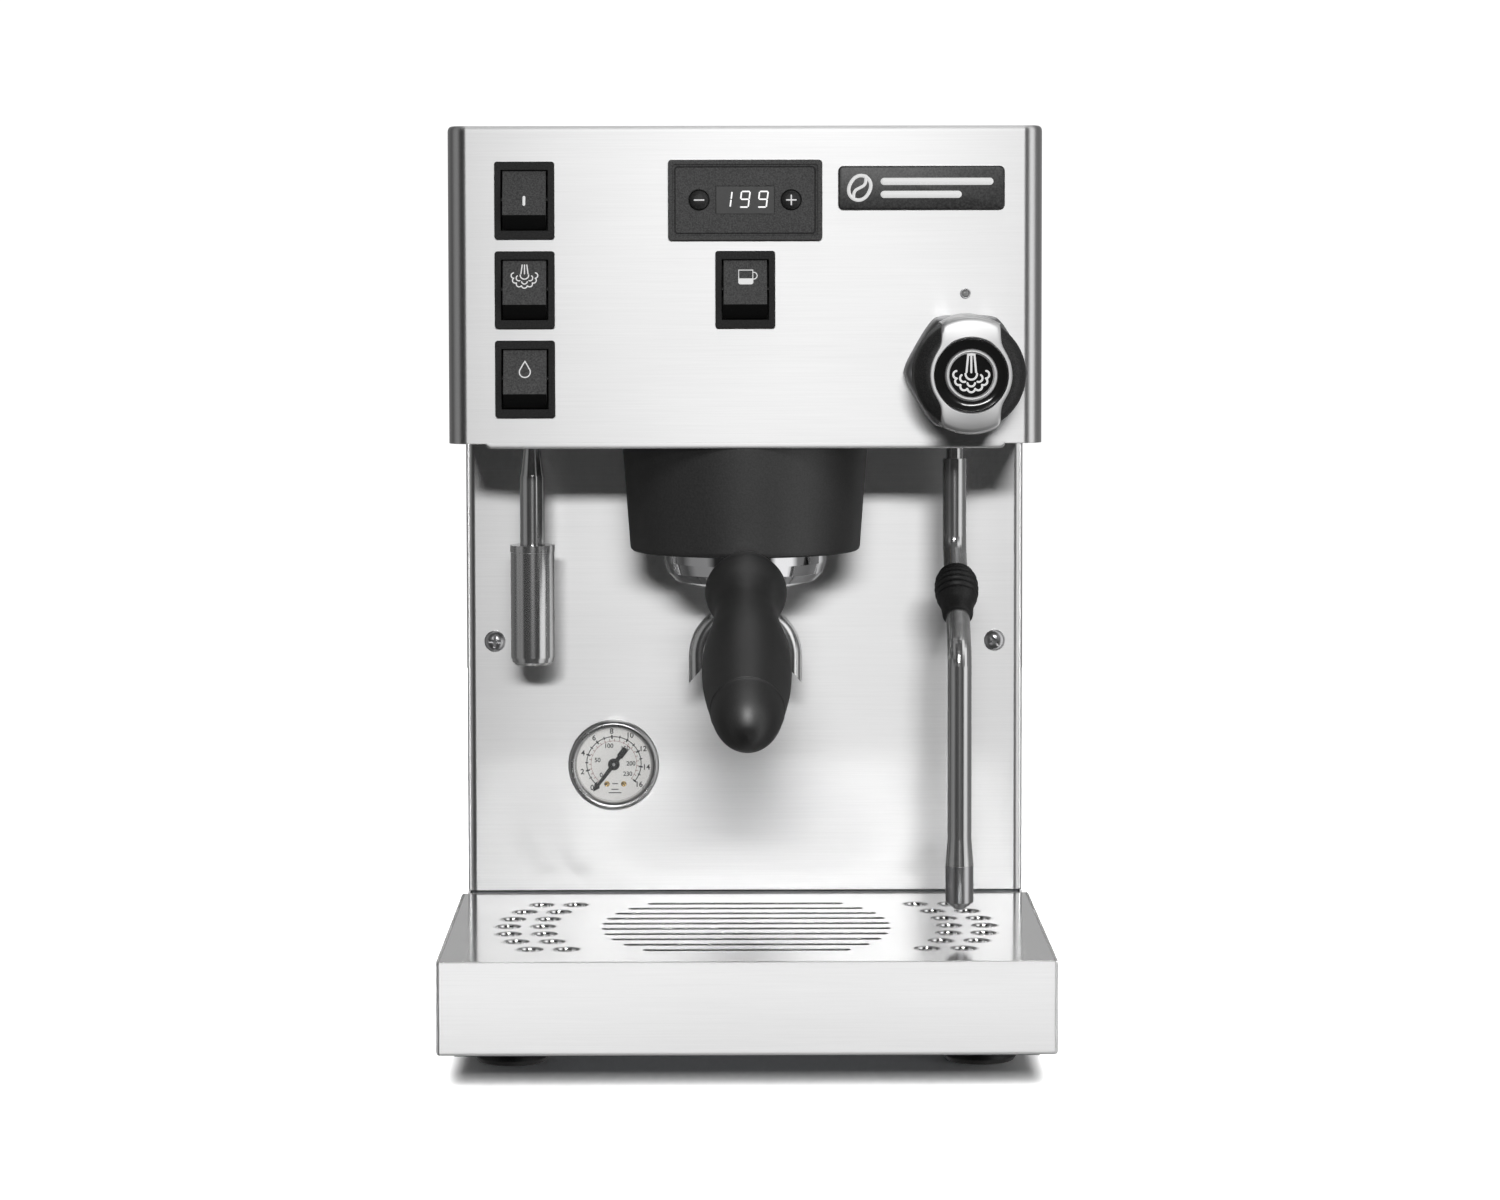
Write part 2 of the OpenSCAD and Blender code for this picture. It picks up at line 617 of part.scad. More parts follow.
module power_rocker() rocker(switches[0]);
module steam_rocker() rocker(switches[1]);
module water_rocker() rocker(switches[2]);
module brew_rocker() rocker(switches[3]);

module display_bezel() color("black") difference() {
  union() {
    facing(y_head - 2.4, 2.4) translate([0, upper_z]) rounded_rect(63.3, 33, 1.5);
    facing(y_head - 0.1, 24) translate([0, upper_z]) square([58, 28], center = true);
  }
  facing(y_head - 3, 1.4) translate([0, upper_z]) rounded_rect(59.6, 29.2, 1);
  facing(y_head - 3, 2.6) translate([0, upper_z]) square([23.9, 11.4], center = true);
  for (s = [-1, 1]) rod_y(s * button_x, [y_head - 3, y_head + 4.2], upper_z, 4.3);
}

module display_window() color("dimgray")
  facing(y_head - 2, 1.6) translate([0, upper_z]) square([23.7, 11.2], center = true);

module button(s) color("black") rod_y(s * button_x, [y_head - 2.6, y_head + 3], upper_z, 4);
module minus_button() button(-1);
module plus_button() button(1);

module badge_plate() color("black")
  facing(y_head - 1.6, 1.6) translate(badge_at) rounded_rect(68.4, 18, 1.6);

module indicator_lamp() color("red") {
  rod_y(knob_x, [y_head - 0.9, y_head + 8], lamp_z, 2);
}

// Knob pieces are drawn with Z as the distance in front of the head panel.
module knob_frame() translate([knob_x, y_head, knob_z]) rotate([90, 0, 0]) children();

module bridge_2d() intersection() {
  circle(23.8);
  union() {
    square([23.5, 60], center = true);
    circle(16.4);
  }
}

module knob_legs(z0, z1, r_out) translate([0, 0, z0]) linear_extrude(z1 - z0) difference() {
  intersection() {
    circle(r_out);
    square([23.5, 80], center = true);
  }
  circle(20.4);
}

module knob_body() color("black") knob_frame() difference() {
  union() {
    translate([0, 0, 1.2]) linear_extrude(16.8) intersection() {
      circle(24.6);
      circle(26.6, $fn = 6);
    }
    translate([0, 0, 17.9]) cylinder(h = 22.1, r1 = 23.4, r2 = 22.4);
  }
  translate([0, 0, 38]) linear_extrude(10) bridge_2d();
  knob_legs(2, 39, 40);
  translate([0, 0, -1]) cylinder(h = 31, r = 4.02);
}

module knob_bridge() color("silver") knob_frame() difference() {
  union() {
    translate([0, 0, 38]) linear_extrude(5) bridge_2d();
    knob_legs(2, 38.1, 23.8);
  }
  translate([0, 0, 41]) cylinder(h = 5, r = 14.3);
}

module knob_badge() color("black") knob_frame() translate([0, 0, 41]) rotate_extrude()
  polygon([[0, 0], [14.2, 0], [14.2, 2], [12, 0.9], [10.6, 0.9], [10.4, 2.4], [9.4, 2.4],
    [9.2, 1.8], [0, 1.8]]);

module steam_spindle() color("silver") knob_frame() translate([0, 0, -40]) cylinder(h = 69.9, r = 4);

// ---------- pressure gauge ----------

module gauge_frame() translate([gauge_at[0], y_splash, gauge_at[1]]) rotate([-90, 0, 0]) children();

module gauge_body() color("black") gauge_frame() {
  rotate_extrude() polygon([[0, 3], [17.4, 3], [17.4, 0.1], [18.9, 0.1], [18.9, 24], [6, 24], [6, 27],
    [0, 27]]);
  translate([0, 0, -0.4]) cylinder(h = 3.5, r = 0.7);
}

module gauge_bezel() color("silver") gauge_frame() rotate_extrude() polygon([
  [17, -2.4], [17.5, -3.4], [18.4, -3.8], [19.3, -3.1], [19.9, -1.4], [20, -0.02], [17, -0.02]]);

module gauge_glass() color("lightblue") gauge_frame() translate([0, 0, -2.2]) cylinder(h = 1, r = 16.95);

needle_rest = 127.3;                       // points to the lower left, a little below zero

module gauge_needle() color("black") gauge_frame() difference() {
  union() {
    cylinder(h = 0.8, r = 2.2);
    rotate([0, 0, needle_rest]) linear_extrude(0.6)
      polygon([[-8.6, -1], [0, -0.8], [13, -0.3], [15, 0], [13, 0.3], [0, 0.8], [-8.6, 1]]);
  }
  translate([0, 0, -1]) cylinder(h = 3, r = 0.76);
}

// ---------- drip tray ----------

module drip_tray() color("silver") {
  half = tray_w / 2;
  difference() {
    box([-half, half], [y_tray, y_tray + tray_d], [tray_z, grate_z]);
    box([-half + sheet, half - sheet], [y_tray + sheet, y_tray + tray_d - sheet],
      [tray_z + sheet, grate_z + 1]);
  }
  for (s = [0, 1]) mirror([s, 0, 0])
    box([half - 6, half - sheet + 0.1], [y_tray + sheet - 0.1, y_tray + tray_d - sheet + 0.1],
      [grate_z - 2.4, grate_z - sheet - 0.05]);
}

slot_field = [61, 79];                   // half width and half depth of the slotted ellipse
slot_step = 12.6;
hole_rows = 7;
hole_step = 18.1;

module drip_grate() color("silver") {
  half = tray_w / 2;
  y_mid = y_tray + tray_d / 2 - 1;
  difference() {
    box([-half + sheet + 0.2, half - sheet - 0.2],
      [y_tray + sheet + 0.2, y_tray + tray_d - sheet - 0.2], [grate_z - sheet, grate_z]);
    translate([0, y_mid, grate_z - 5]) linear_extrude(10) {
      for (k = [0 : slot_count - 1])
        let (d = (k - (slot_count - 1) / 2) * slot_step)
          translate([0, d]) slot_2d(2 * slot_field[0] * sqrt(1 - pow(d / slot_field[1], 2)), 4.6);
      for (s = [-1, 1], k = [0 : hole_rows - 1], c = [0, 1])
        let (d = (k - (hole_rows - 1) / 2) * hole_step)
          translate([s * (100.2 - 14.8 * c - d * d / 250), d]) circle(drain_d / 2, $fn = 32);
    }
  }
}

// ---------- assembly ----------

base_pan();
feet();
inner_frame();
side_panel_left();
side_panel_right();
rear_panel();
panel_screws();
splash_panel();
head_panel();
head_floor();
mains_inlet();
steam_boiler();
brew_boiler();
boiler_heaters();
boiler_valves();
group_head();
group_gasket();
shower_screen();
group_cover();
pump();
steam_valve();
ball_nut();
outlet_pipe();
outlet_nozzle();
control_box();
copper_pipes();
tank_hose();
gauge_body();
gauge_bezel();
gauge_glass();
switch_frames();
display_bezel();
display_window();
badge_plate();
indicator_lamp();
portafilter_body();
filter_basket();
double_spout();
portafilter_handle();
handle_end_cap();
steam_spindle();
knob_body();
knob_bridge();
knob_badge();
wand_seat();
wand_tube();
wand_grip();
steam_tip();
power_rocker();
steam_rocker();
water_rocker();
brew_rocker();
minus_button();
plus_button();
gauge_needle();
drip_tray();
drip_grate();
cup_tray();
water_tank();
tank_cover();
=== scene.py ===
"""Looks of the espresso machine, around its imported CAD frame: brushed steel, chrome, grained black plastic."""
import math

import bmesh
import bpy
from mathutils import Matrix, Vector


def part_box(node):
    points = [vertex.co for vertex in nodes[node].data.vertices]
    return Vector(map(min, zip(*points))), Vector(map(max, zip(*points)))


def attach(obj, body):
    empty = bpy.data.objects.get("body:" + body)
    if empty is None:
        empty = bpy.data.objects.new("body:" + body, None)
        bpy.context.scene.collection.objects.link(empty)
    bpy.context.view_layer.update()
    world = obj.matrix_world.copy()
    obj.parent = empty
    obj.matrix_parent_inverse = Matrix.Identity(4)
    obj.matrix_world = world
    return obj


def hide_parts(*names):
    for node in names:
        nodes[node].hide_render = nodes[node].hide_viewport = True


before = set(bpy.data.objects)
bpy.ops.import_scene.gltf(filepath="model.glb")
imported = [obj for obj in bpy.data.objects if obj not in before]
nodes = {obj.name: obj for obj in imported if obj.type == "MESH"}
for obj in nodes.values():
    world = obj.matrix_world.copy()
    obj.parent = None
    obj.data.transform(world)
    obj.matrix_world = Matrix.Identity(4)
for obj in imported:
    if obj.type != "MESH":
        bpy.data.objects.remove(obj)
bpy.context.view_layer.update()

MM = 0.001


# ---------- where things are, from the frame ----------

def middle(node):
    low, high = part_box(node)
    return (low + high) / 2


def low(node):
    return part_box(node)[0]


def high(node):
    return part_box(node)[1]


# ---------- materials ----------

def set_stops(ramp, stops):
    """Gives a colour ramp its (position, colour) stops."""
    elements = ramp.color_ramp.elements
    while len(elements) < len(stops):
        elements.new(0.5)
    for element, (at, colour) in zip(elements, stops):
        element.position, element.color = at, (*colour, 1)


class Paint:
    """A material under construction: short names for making and joining shader nodes."""

    def __init__(self, name, colour, metallic=0.0, roughness=0.5, **sockets):
        self.material = bpy.data.materials.new(name)
        self.material.use_nodes = True
        self.tree = self.material.node_tree
        self.shader = self.tree.nodes["Principled BSDF"]
        sockets |= {"Base_Color": (*colour, 1), "Metallic": metallic, "Roughness": roughness}
        for socket, value in sockets.items():
            self.shader.inputs[socket.replace("_", " ")].default_value = value
        self.normal = None

    def node(self, kind, **settings):
        made = self.tree.nodes.new(kind)
        for key, value in settings.items():
            if key in made.inputs.keys():
                made.inputs[key].default_value = value
            else:
                setattr(made, key, value)
        return made

    def join(self, a, b):
        self.tree.links.new(a, b)

    def noise(self, scale, stretch=(1, 1, 1), detail=3.0, rough=0.55):
        """Noise in metres of the object's own space, stretched along an axis by a small factor there."""
        place = self.node("ShaderNodeTexCoord")
        mapping = self.node("ShaderNodeMapping")
        mapping.inputs["Scale"].default_value = [scale * s for s in stretch]
        texture = self.node("ShaderNodeTexNoise", Scale=1.0, Detail=detail, Roughness=rough)
        self.join(place.outputs["Object"], mapping.inputs["Vector"])
        self.join(mapping.outputs["Vector"], texture.inputs["Vector"])
        return texture.outputs["Fac"]

    def ramp(self, value, stops):
        ramp = self.node("ShaderNodeValToRGB")
        set_stops(ramp, stops)
        self.join(value, ramp.inputs["Fac"])
        return ramp.outputs["Color"]

    def vary(self, socket, value, least, most):
        """Drives one of the shader's numbers between two limits."""
        spread = self.node("ShaderNodeMapRange")
        spread.inputs["To Min"].default_value = least
        spread.inputs["To Max"].default_value = most
        self.join(value, spread.inputs["Value"])
        self.join(spread.outputs["Result"], self.shader.inputs[socket])

    def vary_colour(self, value, dark, light, start=0.3, end=0.7):
        self.join(self.ramp(value, [(start, dark), (end, light)]), self.shader.inputs["Base Color"])

    def bump(self, height, strength, distance):
        bump = self.node("ShaderNodeBump", Strength=strength, Distance=distance)
        self.join(height, bump.inputs["Height"])
        if self.normal:
            self.join(self.normal, bump.inputs["Normal"])
        self.set_normal(bump.outputs["Normal"])

    def blacken_underside(self):
        """Painted shade: fades the colour to black and the gloss to none where the part's own surface looks
        down.
        """
        place = self.node("ShaderNodeTexCoord")
        split = self.node("ShaderNodeSeparateXYZ")
        self.join(place.outputs["Normal"], split.inputs["Vector"])
        up = self.node("ShaderNodeMapRange")
        up.inputs["From Min"].default_value, up.inputs["From Max"].default_value = -0.3, -0.1
        self.join(split.outputs["Z"], up.inputs["Value"])
        for socket, below in (("Base Color", 0.0), ("Roughness", 1.0)):
            blend = self.node("ShaderNodeMix", data_type="RGBA")
            blend.inputs["A"].default_value = (below, below, below, 1)
            self.join(up.outputs["Result"], blend.inputs["Factor"])
            self.join(self.shader.inputs[socket].links[0].from_socket, blend.inputs["B"])
            self.join(blend.outputs["Result"], self.shader.inputs[socket])

    def soft_edges(self, radius):
        self.set_normal(self.node("ShaderNodeBevel", samples=4, Radius=radius).outputs["Normal"])

    def set_normal(self, normal):
        self.normal = normal
        self.join(normal, self.shader.inputs["Normal"])


def shade(colour, k):
    return tuple(min(1.0, c * k) for c in colour)


def grey(level):
    return (level, level, level)


def streaked(paint):
    """Spreads reflections up and down, as level scratches do."""
    level = paint.node("ShaderNodeVectorMath", operation="CROSS_PRODUCT")
    paint.join(paint.node("ShaderNodeNewGeometry").outputs["Normal"], level.inputs[0])
    level.inputs[1].default_value = (0.001, 0.01, 1)
    paint.join(level.outputs["Vector"], paint.shader.inputs["Tangent"])
    paint.shader.inputs["Anisotropic Rotation"].default_value = 0.25


def brushed(name, colour, grain):
    """Brushed steel: fine scratches along one axis, and a slow change in gloss along a sheet."""
    paint = Paint(name, colour, metallic=1.0, Anisotropic=0.93)
    streaked(paint)
    paint.soft_edges(0.5 * MM)
    scratches = paint.noise(1600, grain, detail=5.0, rough=0.7)
    clouds = paint.noise(14, tuple(0.4 if g < 0.1 else 1.0 for g in grain), detail=2.0)
    paint.vary("Roughness", clouds, 0.41, 0.45)
    paint.vary_colour(scratches, shade(colour, 0.95), shade(colour, 1.02), 0.25, 0.75)
    paint.bump(scratches, 0.12, 0.02 * MM)
    return paint.material


def polished(name, colour, roughness, scale=60):
    """Plated or polished metal with faint smears that change its gloss."""
    paint = Paint(name, colour, metallic=1.0)
    paint.soft_edges(0.3 * MM)
    smears = paint.noise(scale, detail=4.0)
    ripple = paint.noise(scale * 1.7, detail=2.0)
    paint.vary("Roughness", smears, *roughness)
    paint.vary_colour(smears, shade(colour, 0.95), colour)
    paint.bump(ripple, 0.06, 0.1 * MM)
    return paint.material


def turned(name, colour, metallic, roughness):
    """Plated tube or turned part, with fine lines drawn along it."""
    paint = Paint(name, colour, metallic=metallic, Anisotropic=0.75)
    streaked(paint)
    lines = paint.noise(320, (1, 1, 0.03), detail=1.5)
    smears = paint.noise(50, (1, 1, 0.15), detail=3.0)
    paint.vary("Roughness", smears, *roughness)
    paint.vary_colour(lines, shade(colour, 0.8), colour)
    paint.bump(lines, 0.02, 0.02 * MM)
    return paint.material


def grained(name, colour, grain, roughness, depth, specular=0.5, painted_underside_shade=False):
    """Moulded plastic with a spark-eroded grain. The underside switch adds painted shade: faces that look down
    turn deep black.
    """
    paint = Paint(name, colour, Specular_IOR_Level=specular)
    paint.soft_edges(0.4 * MM)
    pits = paint.noise(grain, detail=3.0, rough=0.6)
    wear = paint.noise(30, detail=3.0)
    paint.vary("Roughness", wear, *roughness)
    paint.vary_colour(pits, shade(colour, 0.45), shade(colour, 1.7), 0.36, 0.66)
    paint.bump(pits, depth, 0.08 * MM)
    if painted_underside_shade:
        paint.blacken_underside()
    return paint.material


def glossy(name, colour):
    """Shiny plastic with faint smears."""
    paint = Paint(name, colour)
    smears = paint.noise(80, detail=4.0)
    paint.vary("Roughness", smears, 0.06, 0.16)
    paint.vary_colour(smears, shade(colour, 0.85), shade(colour, 1.15))
    return paint.material


def printed(name, colour, roughness=(0.35, 0.5), glow=0.0):
    """Printed ink or a lit segment, with slight unevenness. glow makes it shine: real light for lit segments,
    painted light for the white ink and the gauge dial.
    """
    paint = Paint(name, colour)
    speckle = paint.noise(900, detail=2.0)
    paint.vary("Roughness", speckle, *roughness)
    paint.vary_colour(speckle, shade(colour, 0.93), colour)
    if glow:
        paint.shader.inputs["Emission Color"].default_value = (*colour, 1)
        paint.shader.inputs["Emission Strength"].default_value = glow
    return paint.material


def clear(name, colour, alpha, roughness=(0.03, 0.1)):
    """Clear cover or tank: mostly seen through, with smears in how much it hides."""
    paint = Paint(name, colour, Alpha=alpha)
    smears = paint.noise(50, detail=3.0)
    paint.vary("Roughness", smears, *roughness)
    paint.vary("Alpha", smears, alpha * 0.8, alpha * 1.2)
    return paint.material


materials = {
    "brushed": brushed("brushed_steel_across", grey(0.88), (0.012, 1, 1)),
    "brushed_back": brushed("brushed_steel_sides", grey(0.84), (1, 0.012, 1)),
    "tray_top": polished("tray_polished_steel", grey(0.94), (0.09, 0.14), scale=25),
    "chrome": polished("bright_chrome", (0.80, 0.80, 0.81), (0.03, 0.09)),
    "tube": turned("plated_tube", grey(0.82), 0.82, (0.14, 0.2)),
    "satin": polished("satin_steel", (0.62, 0.62, 0.63), (0.22, 0.36)),
    "zinc": polished("zinc_plated_sheet", (0.42, 0.43, 0.45), (0.35, 0.5)),
    "boiler": polished("welded_boiler_steel", (0.58, 0.58, 0.6), (0.28, 0.45)),
    "brass": polished("machined_brass", (0.72, 0.52, 0.24), (0.2, 0.34)),
    "copper": polished("drawn_copper", (0.78, 0.40, 0.25), (0.18, 0.32)),
    "skirt": grained("black_skirt_plastic", grey(0.011), 1500, (0.46, 0.54), 0.35, specular=0.9),
    "switch": grained("black_switch_plastic", grey(0.03), 1700, (0.45, 0.55), 0.7),
    "frame": grained("black_frame_plastic", grey(0.02), 1500, (0.5, 0.6), 0.9, specular=0.4),
    # Painted shade: faces of these parts that look down are turned black, as if in shadow.
    "key": grained("black_key_plastic", grey(0.068), 1600, (0.4, 0.5), 0.9, painted_underside_shade=True),
    "handle": grained("black_handle_plastic", grey(0.005), 1900, (0.46, 0.52), 0.3, specular=0.9),
    "rubber": grained("black_rubber", grey(0.02), 2000, (0.42, 0.52), 0.3),
    "moulded": grained("dark_moulding", (0.05, 0.052, 0.055), 1800, (0.45, 0.6), 0.3),
    "gloss": glossy("black_gloss", grey(0.022)),
    "nylon": grained("natural_nylon", (0.78, 0.76, 0.7), 1500, (0.4, 0.5), 0.15),
    # Painted light: the white ink glows though it is no lamp.
    "ink": printed("white_ink", grey(0.86), glow=0.45),
    "cover_glass": clear("gauge_glass", (0.85, 0.87, 0.87), 0.08),
    "clear_plastic": clear("tank_plastic", (0.8, 0.84, 0.86), 0.4, (0.15, 0.3)),
    "digits": printed("lit_segments", grey(0.9), glow=0.9),
    "black_print": printed("black_print", grey(0.015)),
    "red_print": printed("faded_red_print", (0.62, 0.36, 0.36)),
    # Painted light: the gauge dial glows though it is no lamp, to look brighter.
    "dial": printed("gauge_dial", (0.9, 0.89, 0.87), glow=0.42),
    "badge": grained("badge_plate", grey(0.05), 1200, (0.3, 0.4), 0.1),
    "gunmetal": polished("grey_plated_metal", (0.42, 0.42, 0.43), (0.3, 0.4)),
    "rim": polished("gauge_rim_chrome", grey(0.68), (0.24, 0.32)),
    "spout": polished("spout_chrome", grey(0.9), (0.16, 0.24)),
    "satin_bright": polished("bright_satin_chrome", grey(0.92), (0.42, 0.5)),
    "lamp": glossy("lamp_lens", grey(0.42)),
    "window": printed("display_window", grey(0.085), (0.25, 0.35)),
}

FINISH = {
    "brushed": ["head_panel", "splash_panel", "rear_panel", "cup_tray", "tank_cover", "drip_tray"],
    "brushed_back": ["side_panel_left", "side_panel_right"],
    "tray_top": ["drip_grate"],
    "satin": ["head_floor", "shower_screen", "filter_basket", "steam_spindle", "steam_tip"],
    "zinc": ["base_pan", "inner_frame"],
    "chrome": ["panel_screws", "group_head", "ball_nut", "gauge_bezel", "portafilter_body", "knob_bridge"],
    "tube": ["outlet_pipe", "outlet_nozzle", "wand_tube"],
    "spout": ["double_spout"],
    "boiler": ["steam_boiler"],
    "brass": ["brew_boiler", "boiler_valves", "steam_valve"],
    "copper": ["copper_pipes"],
    "skirt": ["group_cover"],
    "frame": ["switch_frames"],
    "key": ["display_bezel", "power_rocker", "steam_rocker", "water_rocker", "brew_rocker"],
    "switch": ["minus_button", "plus_button", "knob_body", "badge_plate"],
    "handle": ["portafilter_handle", "handle_end_cap"],
    "rubber": ["feet", "group_gasket", "wand_grip"],
    "moulded": ["mains_inlet", "boiler_heaters", "pump", "control_box"],
    "gloss": ["knob_badge", "gauge_needle", "indicator_lamp"],
    "window": ["display_window"],
    "nylon": ["wand_seat", "tank_hose", "gauge_body"],
    "cover_glass": ["gauge_glass"],
    "clear_plastic": ["water_tank"],
}
for finish, names in FINISH.items():
    for name in names:
        nodes[name].data.materials.clear()
        nodes[name].data.materials.append(materials[finish])


# ---------- mesh makers ----------

def solid(name, mesh_data):
    """An object made from (points, faces), with doubled points joined and its faces turned outwards."""
    points, faces = mesh_data
    mesh = bpy.data.meshes.new(name)
    mesh.from_pydata([tuple(p) for p in points], [], faces)
    work = bmesh.new()
    work.from_mesh(mesh)
    bmesh.ops.remove_doubles(work, verts=work.verts, dist=1e-7)
    bmesh.ops.recalc_face_normals(work, faces=work.faces)
    work.to_mesh(mesh)
    work.free()
    return in_scene(name, mesh)


def in_scene(name, data):
    made = bpy.data.objects.new(name, data)
    bpy.context.collection.objects.link(made)
    return made


def piece(name, mesh_data, material, body, smooth=True, stands_for=()):
    """Makes an object from (points, faces), gives it a material and lets it ride on a body."""
    made = solid(name, mesh_data)
    made.data.materials.append(materials[material])
    if smooth:
        made.data.shade_smooth()
        made.data.set_sharp_from_angle(angle=math.radians(40))
    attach(made, body)
    if stands_for:
        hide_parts(*stands_for)
    return made


def merged(*parts):
    """Several (points, faces) as one."""
    points, faces = [], []
    for p, f in parts:
        start = len(points)
        points += list(p)
        faces += [[start + i for i in face] for face in f]
    return points, faces


def placed(part, matrix):
    return [matrix @ Vector(p) for p in part[0]], part[1]


def rounded(profile, radius, steps=5):
    """An open outline with rounded inner corners. radius is one number or one per point."""
    radii = radius if isinstance(radius, (list, tuple)) else [radius] * len(profile)
    made = [Vector(profile[0])]
    for before, at, after, r in zip(profile, profile[1:], profile[2:], radii[1:]):
        before, at, after = Vector(before), Vector(at), Vector(after)
        r = min(r, 0.49 * (before - at).length, 0.49 * (after - at).length)
        if r < 1e-7:
            made.append(at)
            continue
        a = at + (before - at).normalized() * r
        b = at + (after - at).normalized() * r
        for k in range(steps + 1):
            t = k / steps
            made.append(a * (1 - t) ** 2 + at * 2 * t * (1 - t) + b * t * t)
    made.append(Vector(profile[-1]))
    return made


def lathe(profile, steps=96):
    """Turns (radius, height) points about Z, closing the ends that lie on the axis."""
    points, faces, rings = [], [], []
    for r, z in profile:
        if r < 1e-7:
            rings.append([len(points)])
            points.append((0, 0, z))
        else:
            rings.append(list(range(len(points), len(points) + steps)))
            points += [(r * math.cos(math.tau * k / steps), r * math.sin(math.tau * k / steps), z)
                       for k in range(steps)]
    for a, b in zip(rings, rings[1:]):
        for k in range(steps):
            n = (k + 1) % steps
            quad = [a[k % len(a)], a[n % len(a)], b[n % len(b)], b[k % len(b)]]
            quad = list(dict.fromkeys(quad))
            if len(quad) > 2:
                faces.append(quad)
    return points, faces


def pointing(at, direction):
    """A matrix that puts Z along direction, with X kept level where it can be."""
    z = Vector(direction).normalized()
    x = Vector((0, 0, 1)).cross(z)
    x = x.normalized() if x.length > 1e-6 else Vector((1, 0, 0))
    y = z.cross(x)
    return Matrix((
        (x.x, y.x, z.x, at[0]), (x.y, y.y, z.y, at[1]), (x.z, y.z, z.z, at[2]), (0, 0, 0, 1)))


def facing(at, tilt=0.0):
    """A drawing plane facing the user: X to the right, Y up, Z out of the machine. tilt leans its top back."""
    return Matrix.Translation(Vector(at)) @ Matrix.Rotation(math.radians(90 - tilt), 4, "X")


def walls(rings, n, loop=False):
    """Faces between successive rings of n points each, and from the last ring to the first for a loop."""
    return [[i * n + k, i * n + (k + 1) % n, (i + 1) % rings * n + (k + 1) % n, (i + 1) % rings * n + k]
            for i in range(rings if loop else rings - 1) for k in range(n)]


def lids(rings, n):
    """Faces that close the first and the last ring."""
    return [list(range(n))[::-1], [(rings - 1) * n + k for k in range(n)]]


def stroke(points, width, height=0.12 * MM, steps=10):
    """A raised painted line in a drawing plane, with round ends."""
    path = [Vector((p[0], p[1], 0)) for p in points]
    w, up = width / 2, Vector((0, 0, 1))
    head, tail = (path[0] - path[1]).normalized(), (path[-1] - path[-2]).normalized()
    widths = [0, 0.5, 0.866, 0.98]
    full = [path[0] + head * w * math.sqrt(1 - e * e) for e in widths] + path + \
           [path[-1] + tail * w * math.sqrt(1 - e * e) for e in reversed(widths)]
    taper = [w * max(e, 0.05) for e in widths]
    made = []
    for i, (p, r) in enumerate(zip(full, taper + [w] * len(path) + taper[::-1])):
        ahead = (full[min(i + 1, len(full) - 1)] - full[max(i - 1, 0)]).normalized()
        across = ahead.cross(up)
        for k in range(steps):
            a = math.tau * k / steps
            made.append(p + r * (height / w * math.cos(a) * up + math.sin(a) * across))
    return made, walls(len(full), steps) + lids(len(full), steps)


def arc(centre, radius, start, end, steps=16):
    return [(centre[0] + radius * math.cos(math.radians(start + (end - start) * k / steps)),
             centre[1] + radius * math.sin(math.radians(start + (end - start) * k / steps)))
            for k in range(steps + 1)]


def extruded(outline, depth, round_edge=0.0):
    """A plate from an outline in a drawing plane, front face at Z = depth, its front edge rounded."""
    outline = [Vector((p[0], p[1])) for p in outline]
    n = len(outline)
    middle_of = sum(outline, Vector((0, 0))) / n
    rings = [(0.0, 0.0), (depth - round_edge, 0.0)]
    rings += [(depth - round_edge * (1 - math.sin(a)), round_edge * (1 - math.cos(a)))
              for a in (math.pi * step / 8 for step in range(1, 5))] if round_edge else []
    points = []
    for z, inset in rings:
        for i, p in enumerate(outline):
            before, after = outline[i - 1], outline[(i + 1) % n]
            along = (after - before).normalized()
            inward = Vector((-along.y, along.x))
            if inward.dot(middle_of - p) < 0:
                inward = -inward
            q = p + inward * inset
            points.append((q.x, q.y, z))
    return points, walls(len(rings), n) + lids(len(rings), n)


def rounded_box_outline(w, h, r, steps=6):
    x, y = w / 2 - r, h / 2 - r
    corners = ((x, y, 0), (-x, y, 90), (-x, -y, 180), (x, -y, 270))
    return [p for x, y, turn in corners for p in arc((x, y), r, turn, turn + 90, steps)]


# ---------- places ----------

head_y = low("head_panel").y
splash_y = low("splash_panel").y
knob = middle("knob_body")
gauge = middle("gauge_bezel")
display_z = middle("display_bezel").z
tray_low, tray_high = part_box("drip_tray")


def mm(*values):
    return tuple(v * MM for v in values)


def scaled(points, shift=(0, 0)):
    """Drawing points in metres from ones in millimetres, moved by shift."""
    return [((x + shift[0]) * MM, (y + shift[1]) * MM) for x, y in points]


def spun(profile, steps, plane):
    """Turns a profile in millimetres about an axis that stands on a drawing plane."""
    return placed(lathe([mm(*p) for p in profile], steps), plane)


def evaluated_mesh(made):
    """The object's mesh with its modifiers applied, or a text object's letters as a mesh."""
    bpy.context.view_layer.update()
    return bpy.data.meshes.new_from_object(made.evaluated_get(bpy.context.evaluated_depsgraph_get()))


def cut(made, *cutters):
    """Takes (points, faces) cutters out of an object."""
    for part in cutters:
        cutter = solid("cutter", part)
        modifier = made.modifiers.new("cut", "BOOLEAN")
        modifier.operation, modifier.solver, modifier.object = "DIFFERENCE", "EXACT", cutter
        result = evaluated_mesh(made)
        made.modifiers.clear()
        made.data = result
        bpy.data.objects.remove(cutter)


def flatten(made):
    """Keeps big flat faces flat beside their rounded corners."""
    modifier = made.modifiers.new("flat_faces", "WEIGHTED_NORMAL")
    modifier.mode, modifier.weight, modifier.keep_sharp = "FACE_AREA", 100, True


def block(x, y, z):
    """A box between two limits on each axis, for cutting."""
    points = [Vector((a, b, c)) for a in x for b in y for c in z]
    faces = [[0, 1, 3, 2], [4, 6, 7, 5], [0, 4, 5, 1], [2, 3, 7, 6], [0, 2, 6, 4], [1, 5, 7, 3]]
    return points, faces


# ---------- folded sheets ----------

